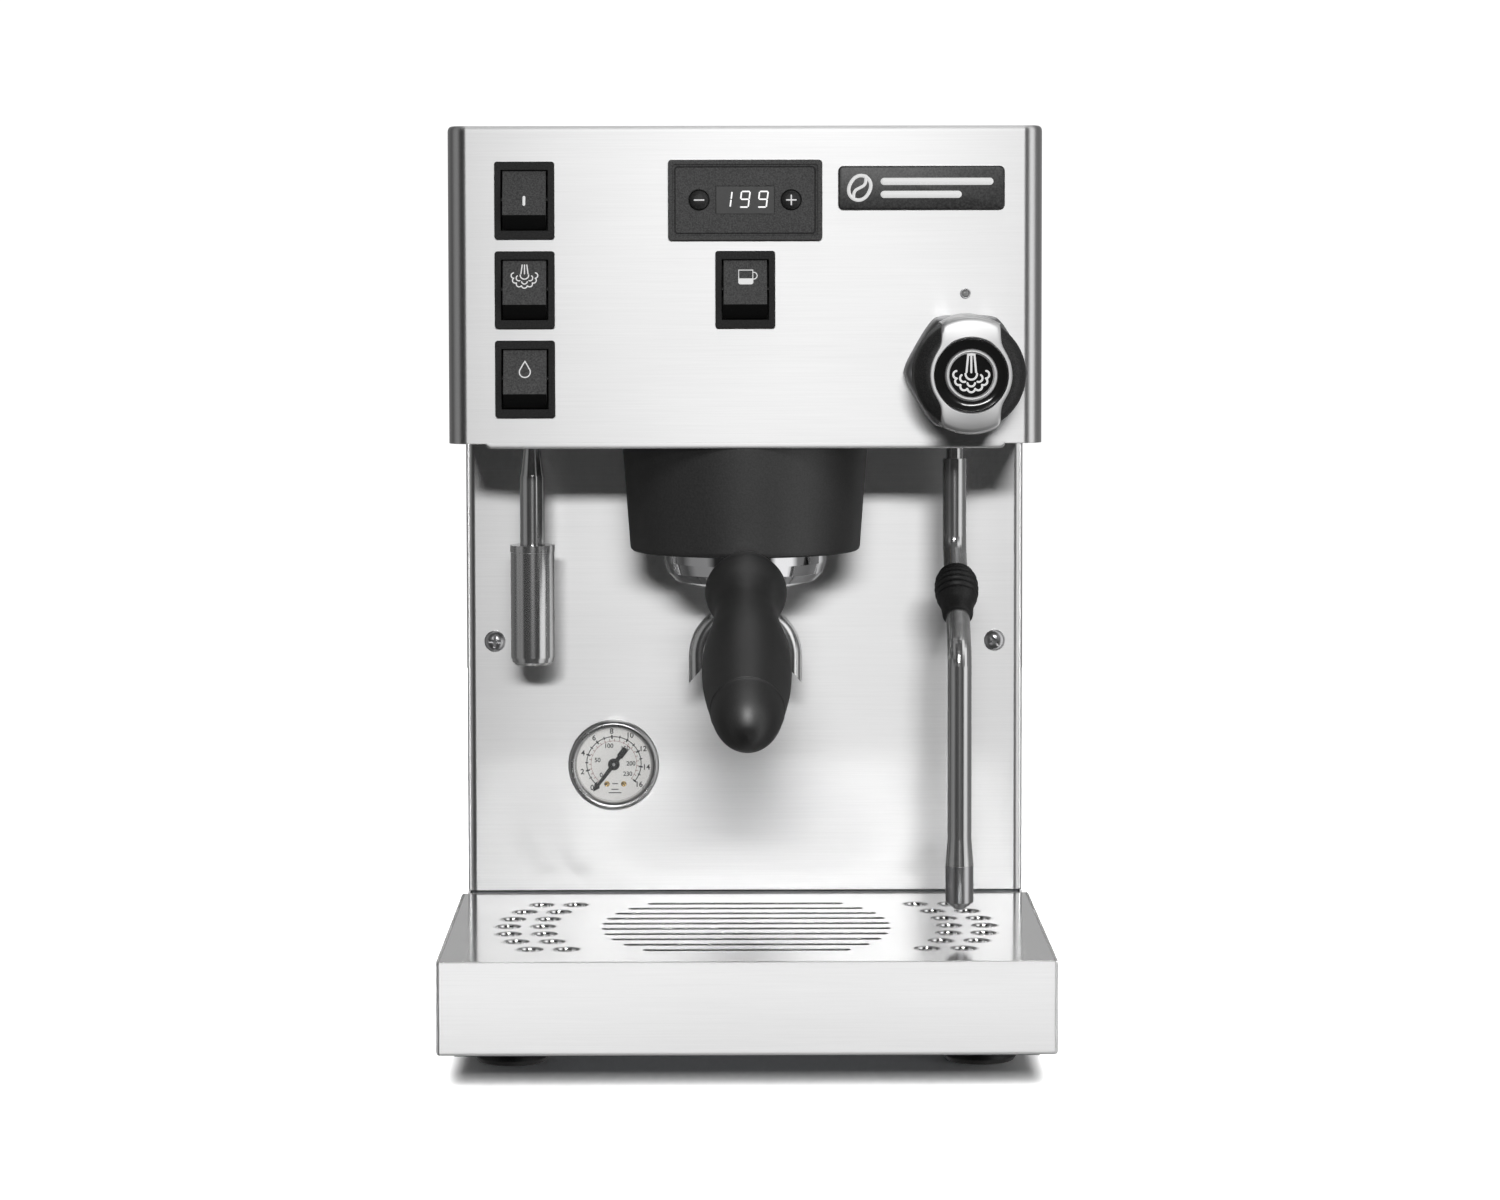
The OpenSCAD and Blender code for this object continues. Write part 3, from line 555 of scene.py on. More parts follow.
def swept(path, profile, loop=False):
    """Sweeps a closed profile of (inward, height) along a level path of (point, inward direction)."""
    n, m = len(path), len(profile)
    points = [(p[0] + d[0] * inward, p[1] + d[1] * inward, height)
              for p, d in path for inward, height in profile]
    return points, walls(n, m, loop) + ([] if loop else [lid[::-1] for lid in lids(n, m)])


def bend(centre, r, start, end, steps=10):
    """A corner of a level path, turned about its centre, with the inward direction towards it."""
    outward = arc((0, 0), 1, start, end, steps)
    return [(p, (-x, -y)) for p, (x, y) in zip(arc(centre, r, start, end, steps), outward)]


def u_path(half, front, back, r):
    """A U seen from above with rounded front corners, open at the back."""
    return [((-half, back), (1, 0))] + bend((-half + r, front + r), r, 180, 270) + \
           bend((half - r, front + r), r, 270, 360) + [((half, back), (-1, 0))]


def fold(profile, radii):
    """A closed profile in millimetres with each corner rounded by its own radius."""
    (x0, y0), (x1, y1) = profile[0], profile[-1]
    start = ((x0 + x1) / 2, (y0 + y1) / 2)
    return [(p.x * MM, p.y * MM) for p in rounded([start] + profile + [start], [0] + radii + [0])][:-1]


# Millimetres: the sheet's thickness, the foot of the head's wall, and holes as (x, z, half width, half height).
SHEET, HEAD_FOOT = 1.2, 259.3
HOLES = [(middle(n).x, middle(n).z, 11.1, 14.6) for n in
         ("power_rocker", "steam_rocker", "water_rocker", "brew_rocker")]
HOLES += [(0, display_z, 29.1, 14.1), (knob.x, knob.z, 5, 5), (knob.x, middle("indicator_lamp").z, 1.45, 1.45)]


def head_front():
    """Front of the head: one sheet bent round both corners, folded in at the top and under at the bottom. Its
    wings beyond the bends are a piece of their own, so that lamps can tell them apart."""
    half, back, top = high("head_panel")
    bend_r, hem = 8 * MM, 6
    top /= MM
    wall = fold([(0, HEAD_FOOT), (0, top), (hem, top), (hem, top - SHEET), (SHEET, top - SHEET),
                 (SHEET, HEAD_FOOT)], [0.2, 2.4, 0.3, 0.2, 1.2, 0.2])
    seam = head_y + bend_r + MM
    made = piece("head_front", swept(u_path(half, head_y, seam, bend_r), wall), "brushed",
                 "machine", stands_for=["head_panel"])
    piece("head_wings", merged(*[swept([((s * half, back), (-s, 0)), ((s * half, seam), (-s, 0))], wall)
                                 for s in (-1, 1)]), "brushed", "machine")
    through = (head_y - 10 * MM, head_y + 10 * MM)
    cut(made, *[block((x - w * MM, x + w * MM), through, (z - h * MM, z + h * MM)) for x, z, w, h in HOLES])
    flatten(made)
    lip_low, lip_half, lip_deep, lip_top = low("head_panel").z / MM, 107, 12, HEAD_FOOT + 0.6
    corner = [(0, 1.9), (0.35, 0.9), (1.1, 0.25), (2.2, 0)]
    points = []
    for x, rise in [(x - lip_half, z) for x, z in corner] + [(lip_half - x, z) for x, z in reversed(corner)]:
        outer, inner = lip_low + rise, lip_low + SHEET + rise * 0.3
        ring = fold([(0, lip_top), (0, outer), (lip_deep, outer), (lip_deep, inner), (SHEET, inner),
                     (SHEET, lip_top)], [0.1, 1.5, 0.3, 0.2, 0.3, 0.1])
        points += [(x * MM, head_y + a - 0.02 * MM, b) for a, b in ring]
    faces = walls(2 * len(corner), len(ring)) + [lid[::-1] for lid in lids(2 * len(corner), len(ring))]
    piece("head_lip", (points, faces), "brushed", "machine")


head_front()


def tray_shell():
    """Drip tray: a floor, four walls with a rolled rim, and a ledge along each side that carries the grate."""
    (x0, y0, z0), (x1, y1, z1) = tray_low, tray_high
    r, foot, gap = 1.6 * MM, 8, 7 * MM
    corners = ((x0 + r, y0 + r, 180), (x1 - r, y0 + r, 270), (x1 - r, y1 - r, 0), (x0 + r, y1 - r, 90))
    path = [stop for x, y, turn in corners for stop in bend((x, y), r, turn, turn + 90, 4)]
    bottom, top = z0 / MM, z1 / MM
    inside = bottom + SHEET
    wall = fold([(0, bottom), (0, top), (SHEET, top), (SHEET, inside), (foot, inside), (foot, bottom)],
                [1.6, 0.55, 0.55, 0.8, 0.1, 0.1])
    plate = extruded([(x0 + gap, y0 + gap), (x1 - gap, y0 + gap), (x1 - gap, y1 - gap), (x0 + gap, y1 - gap)],
                     (SHEET - 0.1) * MM)
    ledges = []
    for s in (-1, 1):
        low_x, high_x = sorted((s * (x1 - 1.1 * MM), s * (x1 - 6 * MM)))
        ledges.append(block((low_x, high_x), (y0 + 1.1 * MM, y1 - 1.1 * MM), (z1 - 2.4 * MM, z1 - 1.25 * MM)))
    made = merged(swept(path, wall, loop=True),
                  placed(plate, Matrix.Translation((0, 0, z0 + 0.05 * MM))), *ledges)
    flatten(piece("tray_shell", made, "brushed", "tray", stands_for=["drip_tray"]))


tray_shell()


def drain_rims():
    """Rims of the round drain holes, turned down into the tray: two bowed columns of seven at each side."""
    rim = [(6.4, -0.02), (6.3, 0.03), (5.9, 0.03), (5.6, -0.12), (5.42, -0.5), (5.34, -1.2), (5.3, -2.6),
           (5.1, -2.6), (5.1, -1.0), (5.3, -0.4), (6.4, -0.02)]
    top, outer_x, pitch_x, pitch_y, bow = high("drip_grate").z, 100.2, 14.8, 18.1, 250
    y_mid = (tray_low.y + tray_high.y) / 2 - MM
    rings = []
    for side in (-1, 1):
        for row in range(-3, 4):
            for column in (0, 1):
                d = row * pitch_y
                x = side * (outer_x - pitch_x * column - d * d / bow)
                rings.append(spun(rim, 40, Matrix.Translation((x * MM, y_mid + d * MM, top))))
    piece("drain_rims", merged(*rings), "tray_top", "grate")


drain_rims()


# ---------- symbols and the display ----------

def steam_symbol(k=1.0, shift=(0, 0), spray=3.7, width=0.5):
    """Three jets over a cloud drawn with overlapping scallops, as (points, faces)."""
    lines = [[(x * 0.66, 6.8 + spray), (x, 6.8)] for x in (-1.45, 0, 1.45)]
    lines.append(arc((0, 6.3), 1.75, 180, 360))
    for ring, r, angles in ((2.55, 1.15, (-62, 0, 62)), (4.3, 1.15, (-88, -60, -30, 0, 30, 60, 88))):
        for a in angles:
            c = (ring * math.sin(math.radians(a)), 6.2 - ring * math.cos(math.radians(a)))
            lines.append(arc(c, r, a - 90 - 82, a - 90 + 82))
    return merged(*[stroke(scaled([(x * k, y * k) for x, y in line], shift), width * MM) for line in lines])


def drop_symbol():
    """Outline of a drop."""
    side = [(0, 7.6), (0.75, 6.35), (1.6, 4.9)]
    around = arc((0, 3.1), 2.25, 33, -213, 26)
    outline = side[:2] + around + [(-x, y) for x, y in reversed(side[:2])]
    return stroke(scaled(outline), 0.5 * MM)


def cup_symbol():
    """Cup outline, part filled, with its handle on the right."""
    body = [(-2.7, 8.2), (3.1, 8.2), (3.1, 2.8), (2.6, 2.4), (-2.2, 2.4), (-2.7, 2.8), (-2.7, 8.2), (3.1, 8.2)]
    handle = [(3.1, 7.3)] + arc((3.4, 5.85), 1.45, 75, -75) + [(3.1, 4.4)]
    coffee = extruded(scaled([(-2.6, 2.5), (3.0, 2.5), (3.0, 4.7), (-2.6, 4.7)]), 0.06 * MM)
    return merged(stroke(scaled(body), 0.42 * MM), stroke(scaled(handle), 0.42 * MM), coffee)


def rocker_print(name, drawing, rocker, body):
    """Prints a symbol on the leaning upper half of a rocker."""
    at, lean = middle(rocker), 13.1
    piece(name, placed(drawing, facing((at.x, head_y - 4.0 * MM, at.z), lean)), "ink", body)


rocker_print("power_mark", stroke(scaled([(0, -1.7), (0, 1.3)]), 1.2 * MM), "power_rocker", "power_switch")
rocker_print("steam_mark", steam_symbol(), "steam_rocker", "steam_switch")
rocker_print("drop_mark", drop_symbol(), "water_rocker", "water_switch")
rocker_print("cup_mark", cup_symbol(), "brew_rocker", "brew_switch")


def digit(lit, x):
    """A slanted digit centred on x; lit names its segments clockwise from the top, then the middle."""
    w, h, slant, gap = 1.75, 3.2, 0.13, 0.42
    ends = {"a": ((-w, h), (w, h)), "b": ((w, h), (w, 0)), "c": ((w, 0), (w, -h)), "d": ((w, -h), (-w, -h)),
            "e": ((-w, -h), (-w, 0)), "f": ((-w, 0), (-w, h)), "g": ((-w, 0), (w, 0))}
    bars = []
    for key in lit:
        a, b = Vector(ends[key][0]), Vector(ends[key][1])
        step = (b - a).normalized() * gap
        bars.append(stroke(scaled([(x + p.x + slant * p.y, p.y + 0.3) for p in (a + step, b - step)]),
                           0.58 * MM, 0.05 * MM, 8))
    return merged(*bars)


piece("display_digits", placed(merged(digit("bc", -7.5), digit("abcdfg", -0.1), digit("abcdfg", 7.3)),
                               facing((0, low("display_window").y, display_z))),
      "digits", "machine")


def display_bead():
    """Raised bead round the display panel, inside its outer edge."""
    outline = rounded_box_outline(57.4, 27.2, 1.2)
    bead = stroke(scaled(outline + outline[:2]), 0.5 * MM, 0.3 * MM)
    plane = facing((0, low("display_bezel").y + 0.8 * MM, display_z))
    piece("display_bead", placed(bead, plane), "switch", "machine")


display_bead()


def key_dome(name, node, body, mark):
    """A domed key with its sign."""
    at = middle(node)
    dome = [(4.0, -4), (4.0, 0.3), (3.85, 0.75), (3.4, 1.15), (2.6, 1.5), (1.4, 1.72), (0, 1.8)]
    plane = facing((at.x, head_y - 1.6 * MM, at.z))
    piece(name, spun(rounded(dome, 0.5), 48, plane), "switch", body, stands_for=[node])
    sign = [stroke([(x * MM, y * MM) for x, y in line], 0.62 * MM, 0.5 * MM) for line in mark]
    lift = Matrix.Translation((0, 0, 1.58 * MM))
    piece(name + "_sign", placed(merged(*sign), plane @ lift), "ink", body)


minus = [(-1.9, 0), (0, 0.0), (1.9, 0)]
key_dome("minus_dome", "minus_button", "minus_key", [minus])
key_dome("plus_dome", "plus_button", "plus_key", [minus, [(y, x) for x, y in minus]])


def badge():
    """A plain black plate with a raised coffee bean and two raised bars."""
    at = middle("badge_plate")
    plate = extruded(scaled(rounded_box_outline(68.4, 18, 2.2)), 1.9 * MM, 0.7 * MM)
    plane = facing((at.x, head_y, at.z))
    piece("badge", placed(plate, plane), "badge", "machine", stands_for=["badge_plate"])
    bean = [(0, 5.3), (2.4, 4.6), (3.9, 2.6), (4.3, 0), (3.9, -2.6), (2.4, -4.6), (0, -5.3)]
    bean = rounded(bean + [(-x, y) for x, y in reversed(bean[1:-1])] + [bean[0]], 1.6)
    turn = Matrix.Rotation(math.radians(-28), 2)
    ring = [turn @ Vector(p) for p in bean]
    crease = [turn @ Vector(p) for p in rounded([(0.2, 5.1), (1.5, 2.2), (-1.5, -2.2), (-0.2, -5.1)], 2.4, 8)]
    lines = [stroke(scaled(drawn, shift=(-25.4, 0)), width * MM, 0.5 * MM)
             for drawn, width in ((ring, 1.5), (crease, 1.3))]
    x0 = -15.4
    for x1, y in ((28, 2.6), (15, -2.7)):
        lines.append(stroke(scaled([(x0, y), ((x0 + x1) / 2, y), (x1, y)]), 3 * MM, 0.5 * MM, 16))
    plane @= Matrix.Translation((0, 0, 1.85 * MM))
    piece("badge_relief", placed(merged(*lines), plane), "ink", "machine")


badge()


def lamp():
    """Indicator lamp: a domed lens in a thin ring."""
    at = middle("indicator_lamp")
    plane = facing((at.x, head_y, at.z))
    ring = rounded([(1.5, 0.0), (1.5, 0.8), (2.1, 0.8), (2.15, 0.0)], 0.25)
    piece("lamp_ring", spun(ring, 40, plane), "satin", "machine")
    dome = rounded([(1.55, -2), (1.55, 0.4), (0.9, 0.85), (0, 0.95)], 0.4)
    piece("lamp_lens", spun(dome, 32, plane), "lamp", "machine",
          stands_for=["indicator_lamp"])


lamp()


# ---------- steam knob ----------

def knob_plane(z=0.0):
    return facing((knob.x, head_y - z * MM, knob.z))


def blended(a, b, power):
    """The greater of two radii, or the smaller with a negative power, with a soft change between them."""
    return (a ** power + b ** power) ** (1 / power)


def hexagon(a):
    """Radius of a hexagon with well rounded corners, flat at the top, at an angle."""
    sharp, corner = 27.0, 25.8
    flat = sharp * math.cos(math.pi / 6) / math.cos((a % (math.pi / 3)) - math.pi / 6)
    return blended(flat, corner, -24)


def knob_skirt():
    """Hexagonal foot of the knob, narrowing to its front, and the round grained body on it."""
    n = 144
    angles = [math.tau * k / n for k in range(n)]
    outline = [(hexagon(a) * math.cos(a), hexagon(a) * math.sin(a)) for a in angles]
    levels = [(1.2, 0.99), (2.2, 1.0), (11, 0.985), (15.5, 0.965), (17.2, 0.945), (18, 0.91), (18.2, 0.6)]
    points = [mm(x * k, y * k, z) for z, k in levels for x, y in outline]
    faces = walls(len(levels), n) + lids(len(levels), n)
    piece("knob_skirt", placed((points, faces), knob_plane()), "gunmetal", "steam_knob",
          stands_for=["knob_body"])
    wings = rounded([(10, 17), (22.9, 17), (22.9, 22), (22.6, 36), (19, 40.2), (6, 40.2)],
                    [0, 0.5, 3, 3.4, 3.4, 0])
    piece("knob_wings", spun(wings, 120, knob_plane()), "switch", "steam_knob")


def bridge_radius(a):
    """Radius of the bridge's outline: a bar with round ends and a round boss in its middle, blended into it."""
    half_width, boss, reach = 11.9, 16.6, 23.6
    bar = min(half_width / max(abs(math.cos(a)), 1e-6), 60)
    return blended(blended(bar, boss, 14), reach, -30)


def knob_bridge():
    """Bridge over the knob's front: its crowned top round a hole, two legs, and a bowl in the hole."""
    n, hole, top, foot = 240, 15.0, 43.2, 37.6
    rings = [(0, 0.7), (0.06, 0.0), (0.25, 0.0), (0.5, 0.0), (0.75, 0.0), (0.9, 0.08), (0.97, 0.4), (1.0, 1.1)]
    points = []
    for outward, drop in rings + [(1.0, None)]:
        for k in range(n):
            a = math.tau * k / n
            r = hole + (bridge_radius(a) - hole) * outward
            x, y = r * math.cos(a), r * math.sin(a)
            crown = top - 0.7 * (max(abs(y) - 13.5, 0) / 10) ** 2 - 0.5 * (x / 16) ** 2
            points.append(mm(x, y, foot if drop is None else crown - drop))
    legs = []
    for side in (-1, 1):
        outer = [(23.9 * math.sin(math.radians(b)), side * 23.9 * math.cos(math.radians(b)))
                 for b in range(-30, 31, 5)]
        inner = [(x * 0.86, y * 0.86) for x, y in reversed(outer)]
        legs.append(placed(extruded(scaled(outer + inner), 37.5 * MM, 0.3 * MM),
                           Matrix.Translation((0, 0, 2 * MM))))
    bowl = spun([(hole, 42.5), (14.9, 40.5), (0, 40.5)], n, Matrix.Identity(4))
    bridge = merged((points, walls(len(rings) + 1, n)), bowl, *legs)
    piece("bridge", placed(bridge, knob_plane()), "satin_bright", "steam_knob",
          stands_for=["knob_bridge"])


def knob_cap():
    """Disc in the bridge's hole, with its ring and the steam symbol."""
    disc = rounded([(14.75, 40.6), (14.75, 42.9), (12.4, 42.3), (11.0, 42.15), (0, 42.15)],
                   [0, 0.35, 1.2, 0.6, 0])
    piece("knob_cap", spun(disc, 144, knob_plane()), "gloss", "steam_knob",
          stands_for=["knob_badge"])
    ring = rounded([(8.7, 42.1), (8.9, 43.0), (9.6, 43.35), (10.4, 43.0), (10.7, 42.1)], 0.4)
    piece("knob_ring", spun(ring, 144, knob_plane()), "satin_bright", "steam_knob")
    mark = steam_symbol(1.33, (0, -7.8), spray=5.2, width=0.85)
    top = stroke(scaled([(-1.3, 8.3), (0, 8.3), (1.3, 8.3)]), 0.9 * MM)
    piece("knob_mark", placed(merged(mark, top), knob_plane(42.2)), "ink", "steam_knob")


knob_skirt()
knob_bridge()
knob_cap()


# ---------- pressure gauge ----------

def gauge_plane(z=0.0):
    return facing((gauge.x, splash_y - z * MM, gauge.z))


def lettering(words, size, at):
    """Flat letters centred on a point of the drawing plane, as (points, faces)."""
    curve = bpy.data.curves.new("lettering", "FONT")
    curve.body, curve.size, curve.extrude = words, size * MM, 0.015 * MM
    curve.align_x, curve.align_y, curve.offset = "CENTER", "CENTER", 0.05 * MM
    holder = in_scene("lettering", curve)
    mesh = evaluated_mesh(holder)
    bpy.data.objects.remove(holder)
    letters = [v.co for v in mesh.vertices], [list(p.vertices) for p in mesh.polygons]
    return placed(letters, Matrix.Translation(mm(*at, 0)))


def around(angle, r):
    """The point of a drawing plane at an angle in degrees and a radius."""
    return r * math.cos(math.radians(angle)), r * math.sin(math.radians(angle))


# The outer scale runs clockwise from 0 to 16, in degrees; the inner one has a tick for every ten of its units.
SCALE_START, SCALE_SPAN, SCALE_TOP, INNER_TICKS = 228, 268, 16, 23


def bar_angle(value):
    return SCALE_START - SCALE_SPAN / SCALE_TOP * value


def pressure_gauge():
    """Rim, dial with its print, and pointer."""
    ring = rounded([(16.3, -3), (16.3, 2.2), (17.0, 3.3), (18.4, 3.8), (19.6, 3.0), (20.0, 0.9), (20.0, 0.02)],
                   [0, 0.4, 0.8, 1.2, 1.2, 0.6, 0])
    piece("gauge_rim", spun(ring, 144, gauge_plane()), "rim", "machine",
          stands_for=["gauge_bezel"])
    dial = rounded([(17.2, -4), (17.2, -2.95), (0, -2.95)], 0.1)
    piece("gauge_dial", spun(dial, 96, gauge_plane()), "dial", "machine")

    def line(points, width, height=0.03):
        return stroke(scaled(points), width * MM, height * MM, 6)

    black = [line(arc((0, 0), 12.0, bar_angle(0), bar_angle(SCALE_TOP), 60), 0.42)]
    for value in range(SCALE_TOP + 1):
        a = bar_angle(value)
        inner, width = (11.3, 0.75) if value % 2 == 0 else (11.6, 0.55)
        black.append(line([around(a, inner), around(a, 12.5)], width))
    for value in range(0, SCALE_TOP + 1, 2):
        black.append(lettering(str(value), 3.3, around(bar_angle(value), 14.4)))
    for value, a, r in ((0, 222, 7.6), (50, 168, 7.4), (100, 106, 8.2), (150, 54, 8.4), (200, 0, 7.5),
                        (230, -37, 7.6)):
        black.append(lettering(str(value), 2.7, around(a, r)))
    red = []
    for k in range(INNER_TICKS + 1):
        a = SCALE_START - SCALE_SPAN * k / INNER_TICKS
        red.append(line([around(a, 10.0), around(a, 11.0)], 0.3))
    red.append(line(arc((0, 0), 10.1, SCALE_START, SCALE_START - SCALE_SPAN, 60), 0.2))
    for x, y, half in ((0.5, -8.9, 1.1), (0.4, -11.4, 1.4), (0.4, -12.9, 2.6)):
        black.append(line([(x - half, y), (x, y), (x + half, y)], 0.45))
    gold, rivet = [], rounded([(1.25, 0), (1.2, 0.25), (0, 0.35)], 0.1)
    for x in (-3.1, 4.3):
        black.append(line([(x - 0.8, -8.4), (x + 0.8, -9.6)], 0.3, 0.06))
        gold.append(spun(rivet, 24, Matrix.Translation(mm(x, -9.0, -0.05))))
    plane = gauge_plane(-2.93)
    piece("gauge_print", placed(merged(*black), plane), "black_print", "machine", smooth=False)
    piece("gauge_scale", placed(merged(*red), plane), "red_print", "machine", smooth=False)
    piece("gauge_rivets", placed(merged(*gold), plane), "brass", "machine")
    needle_at = 232.7
    along, across = Vector(around(needle_at, 1)), Vector(around(needle_at + 90, 1))

    def outline(stations):
        left = [along * x + across * w for x, w in stations]
        right = [along * x - across * w for x, w in reversed(stations)]
        return scaled([tuple(p) for p in left + right])

    pointer = extruded(outline([(-5, 0.9), (0, 1.0), (8, 0.8), (11.2, 0.65), (12.3, 1.35), (14.9, 0.1)]),
                       0.5 * MM)
    tail = extruded(outline([(-8.8, 1.1), (-8.5, 1.4), (-4.4, 1.4), (-4.0, 1.1)]), 0.55 * MM, 0.15 * MM)
    hub = lathe([mm(*p) for p in rounded([(2.6, -0.1), (2.6, 0.7), (2.0, 1.05), (0, 1.1)], 0.2)], 40)
    plane = gauge_plane(-0.8)
    piece("pointer", placed(merged(pointer, tail, hub), plane), "black_print", "needle",
          stands_for=["gauge_needle"])
    pin = rounded([(0.75, 1.0), (0.7, 1.35), (0, 1.4)], 0.15)
    piece("pointer_pin", spun(pin, 24, plane), "satin", "needle")


pressure_gauge()


# ---------- portafilter handle, wand grip, screws ----------

def smooth_profile(stations, steps=6):
    """Radii against distance, with a curve through every station (Catmull-Rom)."""
    p = [Vector(s) for s in stations]
    p = [p[0] * 2 - p[1]] + p + [p[-1] * 2 - p[-2]]
    made = []
    for a, b, c, d in zip(p, p[1:], p[2:], p[3:]):
        for k in range(steps):
            t = k / steps
            made.append(0.5 * ((2 * b) + (c - a) * t + (2 * a - 5 * b + 4 * c - d) * t * t
                               + (3 * b - 3 * c + d - a) * t ** 3))
    return made + [p[-2]]


# Handle and end cap of the portafilter in millimetres: distance from the collar, radius.
HANDLE = [(-15, 9.5), (-12.5, 10.8), (-7, 13.2), (0, 15.8), (4.5, 16.8), (10, 16), (18, 13.7), (28, 12.6),
          (44, 14.4), (60, 16.8), (76, 17.8), (94, 17), (112, 14.6)]
CAP = [(112, 14.6), (120, 13.2), (126.5, 11), (131, 7.8), (133.4, 4.3), (134.4, 0)]


def grip_handle():
    """Handle and its end cap, drawn out so that the cap's tip reaches the end of the CAD part."""
    slope = math.radians(20)
    collar = Vector((0, head_y - 12 * MM, 201 * MM))
    axis = Vector((0, -math.cos(slope), -math.sin(slope)))
    k = (collar.y - low("handle_end_cap").y - 0.41 * MM) / math.cos(slope) / CAP[-1][0]
    plane = pointing(collar, axis)
    body = [(p.y * k, p.x * k) for p in smooth_profile(HANDLE)]
    seam = [(14.35 * k, 112.1 * k), (10 * k, 112.1 * k)]
    piece("grip", placed(lathe([(0, body[0][1])] + body + seam, 96), plane), "handle", "portafilter",
          stands_for=["portafilter_handle"])
    tip = [(max(p.y, 0) * k, p.x * k) for p in smooth_profile(CAP, 8)]
    start = [(10 * k, 112.3 * k), (14.3 * k, 112.3 * k), (14.62 * k, 112.75 * k)]
    tip = start + [p for p in tip if p[1] > 113 * k]
    tip[-1] = (0, tip[-1][1])
    piece("grip_end", placed(lathe(tip, 96), plane), "handle", "portafilter",
          stands_for=["handle_end_cap"])


grip_handle()


def ribbed_grip():
    """Rubber bulb on the wand's slant: five ribs, then a smooth collar."""
    wand, bend_z, first_rib, last_rib, pitch = middle("wand_seat"), 212, 15.2, 28.7, 2.7
    corner = Vector((wand.x, wand.y, bend_z * MM))
    down = Vector((0, -1, -1)).normalized()
    core = smooth_profile([(13.6, 5.6), (14.6, 7.0), (18, 8.7), (22.5, 9.3), (27, 9.0), (30, 8.0), (32.2, 7.1),
                           (34, 6.75), (37.0, 6.45), (38, 6.2)], 10)
    profile = []
    for p in core:
        wave = 0.5 - 0.5 * math.cos(math.tau * (p.x - first_rib) / pitch) if first_rib < p.x < last_rib else 0
        profile.append((p.y - wave * 0.672, p.x))
    profile = [(5.0, 13.6)] + profile + [(5.7, 38.3), (5.0, 38.3)]
    piece("ribbed_grip", spun(profile, 72, pointing(corner, down)), "rubber", "steam_wand",
          stands_for=["wand_grip"])


ribbed_grip()


def screws():
    """Pan-head screws with a cross recess."""
    head = smooth_profile([(0, 4.6), (0.9, 4.55), (1.9, 3.9), (2.6, 2.6), (2.85, 1.3), (2.9, 0)], 4)
    dome = lathe([mm(0, -1), mm(4.6, -1)] + [mm(max(p.y, 0), p.x) for p in head], 48)
    places = [facing((s * 110 * MM, splash_y, 166 * MM)) for s in (-1, 1)]
    back = high("rear_panel").y - 1.1 * MM
    places += [pointing((s * 114 * MM, back, z * MM), (0, 1, 0)) for s in (-1, 1) for z in (30, 205, 378)]
    domes, cutters = [], []
    for plane in places:
        plane = plane @ Matrix.Rotation(math.radians(18 + plane.translation.x / MM), 4, "Z")
        domes.append(placed(dome, plane))
        for w, h in ((2.7, 0.6), (0.6, 2.7)):
            cutters.append(placed(block(mm(-w, w), mm(-h, h), mm(1.3, 4)), plane))
        cutters.append(placed(block(mm(-0.85, 0.85), mm(-0.85, 0.85), mm(0.7, 4)),
                              plane @ Matrix.Rotation(math.pi / 4, 4, "Z")))
    made = piece("screws", merged(*domes), "satin", "machine", stands_for=["panel_screws"])
    cut(made, *cutters)


screws()


# ---------- studio ----------

def camera():
    """The photograph's view: a long lens before the machine, a little below its top."""
    data = bpy.data.cameras.new("photo_camera")
    data.lens, data.shift_y, data.clip_start, data.clip_end = 100.2, -0.10, 0.05, 60
    made = in_scene("photo_camera", data)
    made.location = mm(-7.5, -1829, 356.3)
    made.rotation_euler = [math.radians(turn) for turn in (86.68, 0.1, -0.317)]
    bpy.context.scene.camera = made


def floor():
    """White table, kept out of the machine's reflections so that they stay crisp."""
    front, back, half = -1.2, 1.4, 1.3
    mesh = bpy.data.meshes.new("studio_floor")
    corners = [(-half, front, 0), (half, front, 0), (half, back, 0), (-half, back, 0)]
    mesh.from_pydata(corners, [], [(0, 1, 2, 3)])
    made = in_scene("studio_floor", mesh)
    paint = Paint("studio_floor", grey(0.93), roughness=0.8)
    paint.vary_colour(paint.noise(3, detail=1.0), grey(0.92), grey(0.94))
    mesh.materials.append(paint.material)
    made.visible_glossy = made.visible_diffuse = False


def lamp_at(name, kind, place, aim, strength, lit=(), dark=(), **shape):
    """A lamp that lights everything, or only the pieces named in lit, or all but those named in dark."""
    data = bpy.data.lights.new(name, kind)
    data.energy = strength
    for key, value in shape.items():
        setattr(data, key, value)
    made = in_scene(name, data)
    made.location = place
    made.rotation_euler = (Vector(aim) - Vector(place)).to_track_quat("-Z", "Y").to_euler()
    if not (lit or dark):
        return
    chosen = made.light_linking.receiver_collection = bpy.data.collections.new("light_" + name)
    for item in (*lit, *dark):
        chosen.objects.link(bpy.data.objects[item])
    for entry in chosen.collection_objects if dark else ():
        entry.light_linking.link_state = "EXCLUDE"


def sun(name, place, strength, spread, *lit):
    lamp_at(name, "SUN", place, (0, 0, 0), strength, lit, angle=math.radians(spread))


def panel_lamp(name, place, aim, strength, size, **which):
    lamp_at(name, "AREA", place, aim, strength, shape="RECTANGLE", size=size[0], size_y=size[1], **which)


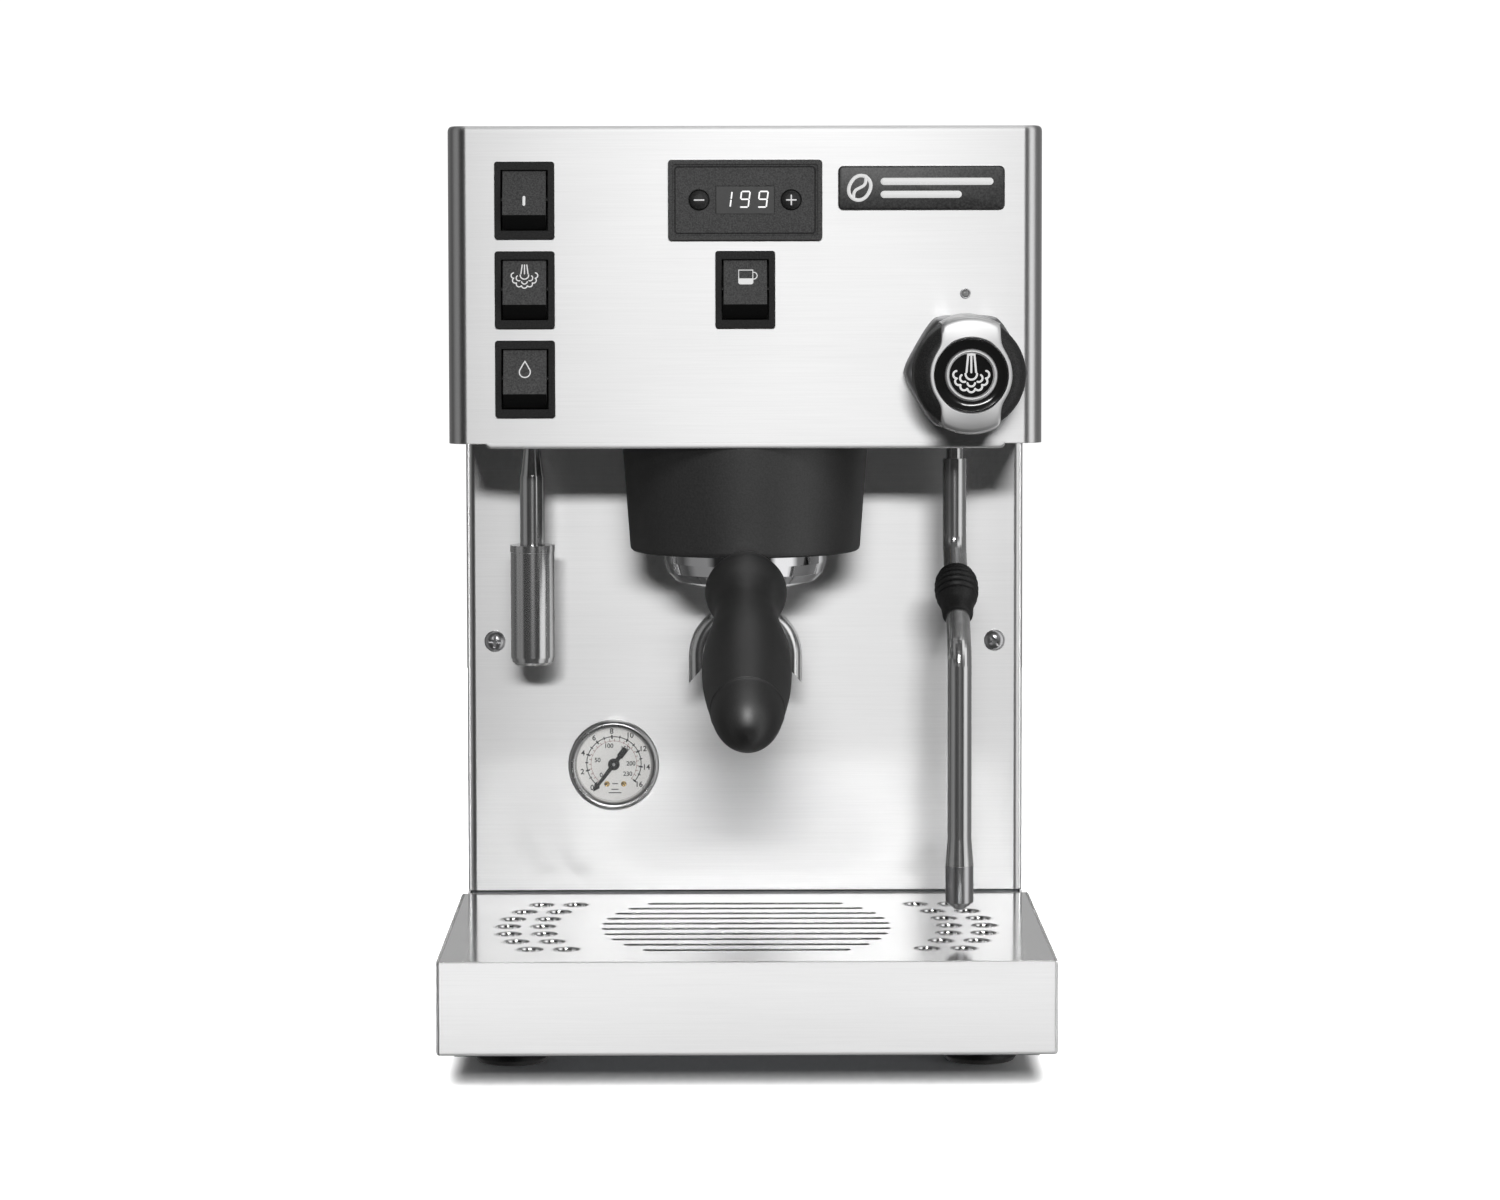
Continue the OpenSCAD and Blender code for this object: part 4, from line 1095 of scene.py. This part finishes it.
def studio_world():
    """White for the camera. For light and reflections, a room that is nearly black before the machine, with a
    weak panel on the left, a bright one on the right, and grey walls at the sides and behind."""
    # Degrees to the right of straight before the machine, and the wall's brightness there.
    room = [(-180, 0.42), (-150, 0.2), (-100, 0.07), (-84, 0.24), (-56, 0.26), (-44, 0.02), (-30, 0.02),
            (0, 0.04), (28, 0.02), (36, 0.02), (44, 1.0), (70, 1.0), (80, 0.2), (110, 0.14), (150, 0.25),
            (180, 0.42)]
    world = bpy.data.worlds.new("studio")
    world.use_nodes = True
    bpy.context.scene.world = world
    tree = world.node_tree
    new, join = tree.nodes.new, tree.links.new

    def maths(kind, a, b):
        made = new("ShaderNodeMath")
        made.operation = kind
        for socket, value in zip(made.inputs, (a, b)):
            if isinstance(value, float):
                socket.default_value = value
            else:
                join(value, socket)
        return made.outputs[0]

    place = new("ShaderNodeTexCoord")
    split = new("ShaderNodeSeparateXYZ")
    join(place.outputs["Generated"], split.inputs["Vector"])
    turn = maths("ARCTAN2", split.outputs["X"], maths("MULTIPLY", split.outputs["Y"], -1.0))
    bands = new("ShaderNodeValToRGB")
    set_stops(bands, [(0.5 + angle / 360, grey(level)) for angle, level in room])
    join(maths("ADD", maths("DIVIDE", turn, math.tau), 0.5), bands.inputs["Fac"])
    lit = tree.nodes["Background"]
    join(bands.outputs["Color"], lit.inputs["Color"])
    seen = new("ShaderNodeLightPath")
    backdrop = new("ShaderNodeBackground")
    backdrop.inputs["Strength"].default_value = 1.1
    backdrop.inputs["Color"].default_value = (1, 1, 1, 1)
    mix = new("ShaderNodeMixShader")
    join(seen.outputs["Is Camera Ray"], mix.inputs["Fac"])
    join(lit.outputs["Background"], mix.inputs[1])
    join(backdrop.outputs["Background"], mix.inputs[2])
    join(mix.outputs["Shader"], tree.nodes["World Output"].inputs["Surface"])


camera()
floor()
studio_world()
panel_lamp("key", (0.06, -2.6, 0.89), (0, 0, 0.2), 15, (0.8, 0.12), dark=["tray_shell"])
panel_lamp("tray_light", (0, -2.4, 0.1), (0, 0, 0.03), 22, (1.8, 0.3), lit=["tray_shell"])
panel_lamp("handle_light", (0, -1.7, 1.6), (0, 0, 0.2), 30, (0.4, 0.7),
           lit=["grip", "grip_end", "group_cover", "double_spout"])
sun("overhead", (0, 0, 2.4), 0.3, 40)
sun("table_light", (0, -2.4, 1.5), 7.4, 26, "studio_floor")
sun("table_back_light", (0, 2.4, 1.3), 7.4, 26, "studio_floor")
for side, name in ((-1, "left"), (1, "right")):
    sun(name + "_light", (side * 2.2, 0, 1.5), 1.3, 120, "side_panel_" + name)
    sun(name + "_bend_light", (side * 2.2, 0.55, 1.3), 1.3, 12, "head_wings", "tray_shell", "splash_panel")
sun("rear_light", (0, 2.4, 1.5), 1.3, 120, "rear_panel", "tank_cover", "cup_tray")
bpy.data.objects["bridge"].visible_glossy = False
bpy.context.scene.view_settings.view_transform = "Standard"
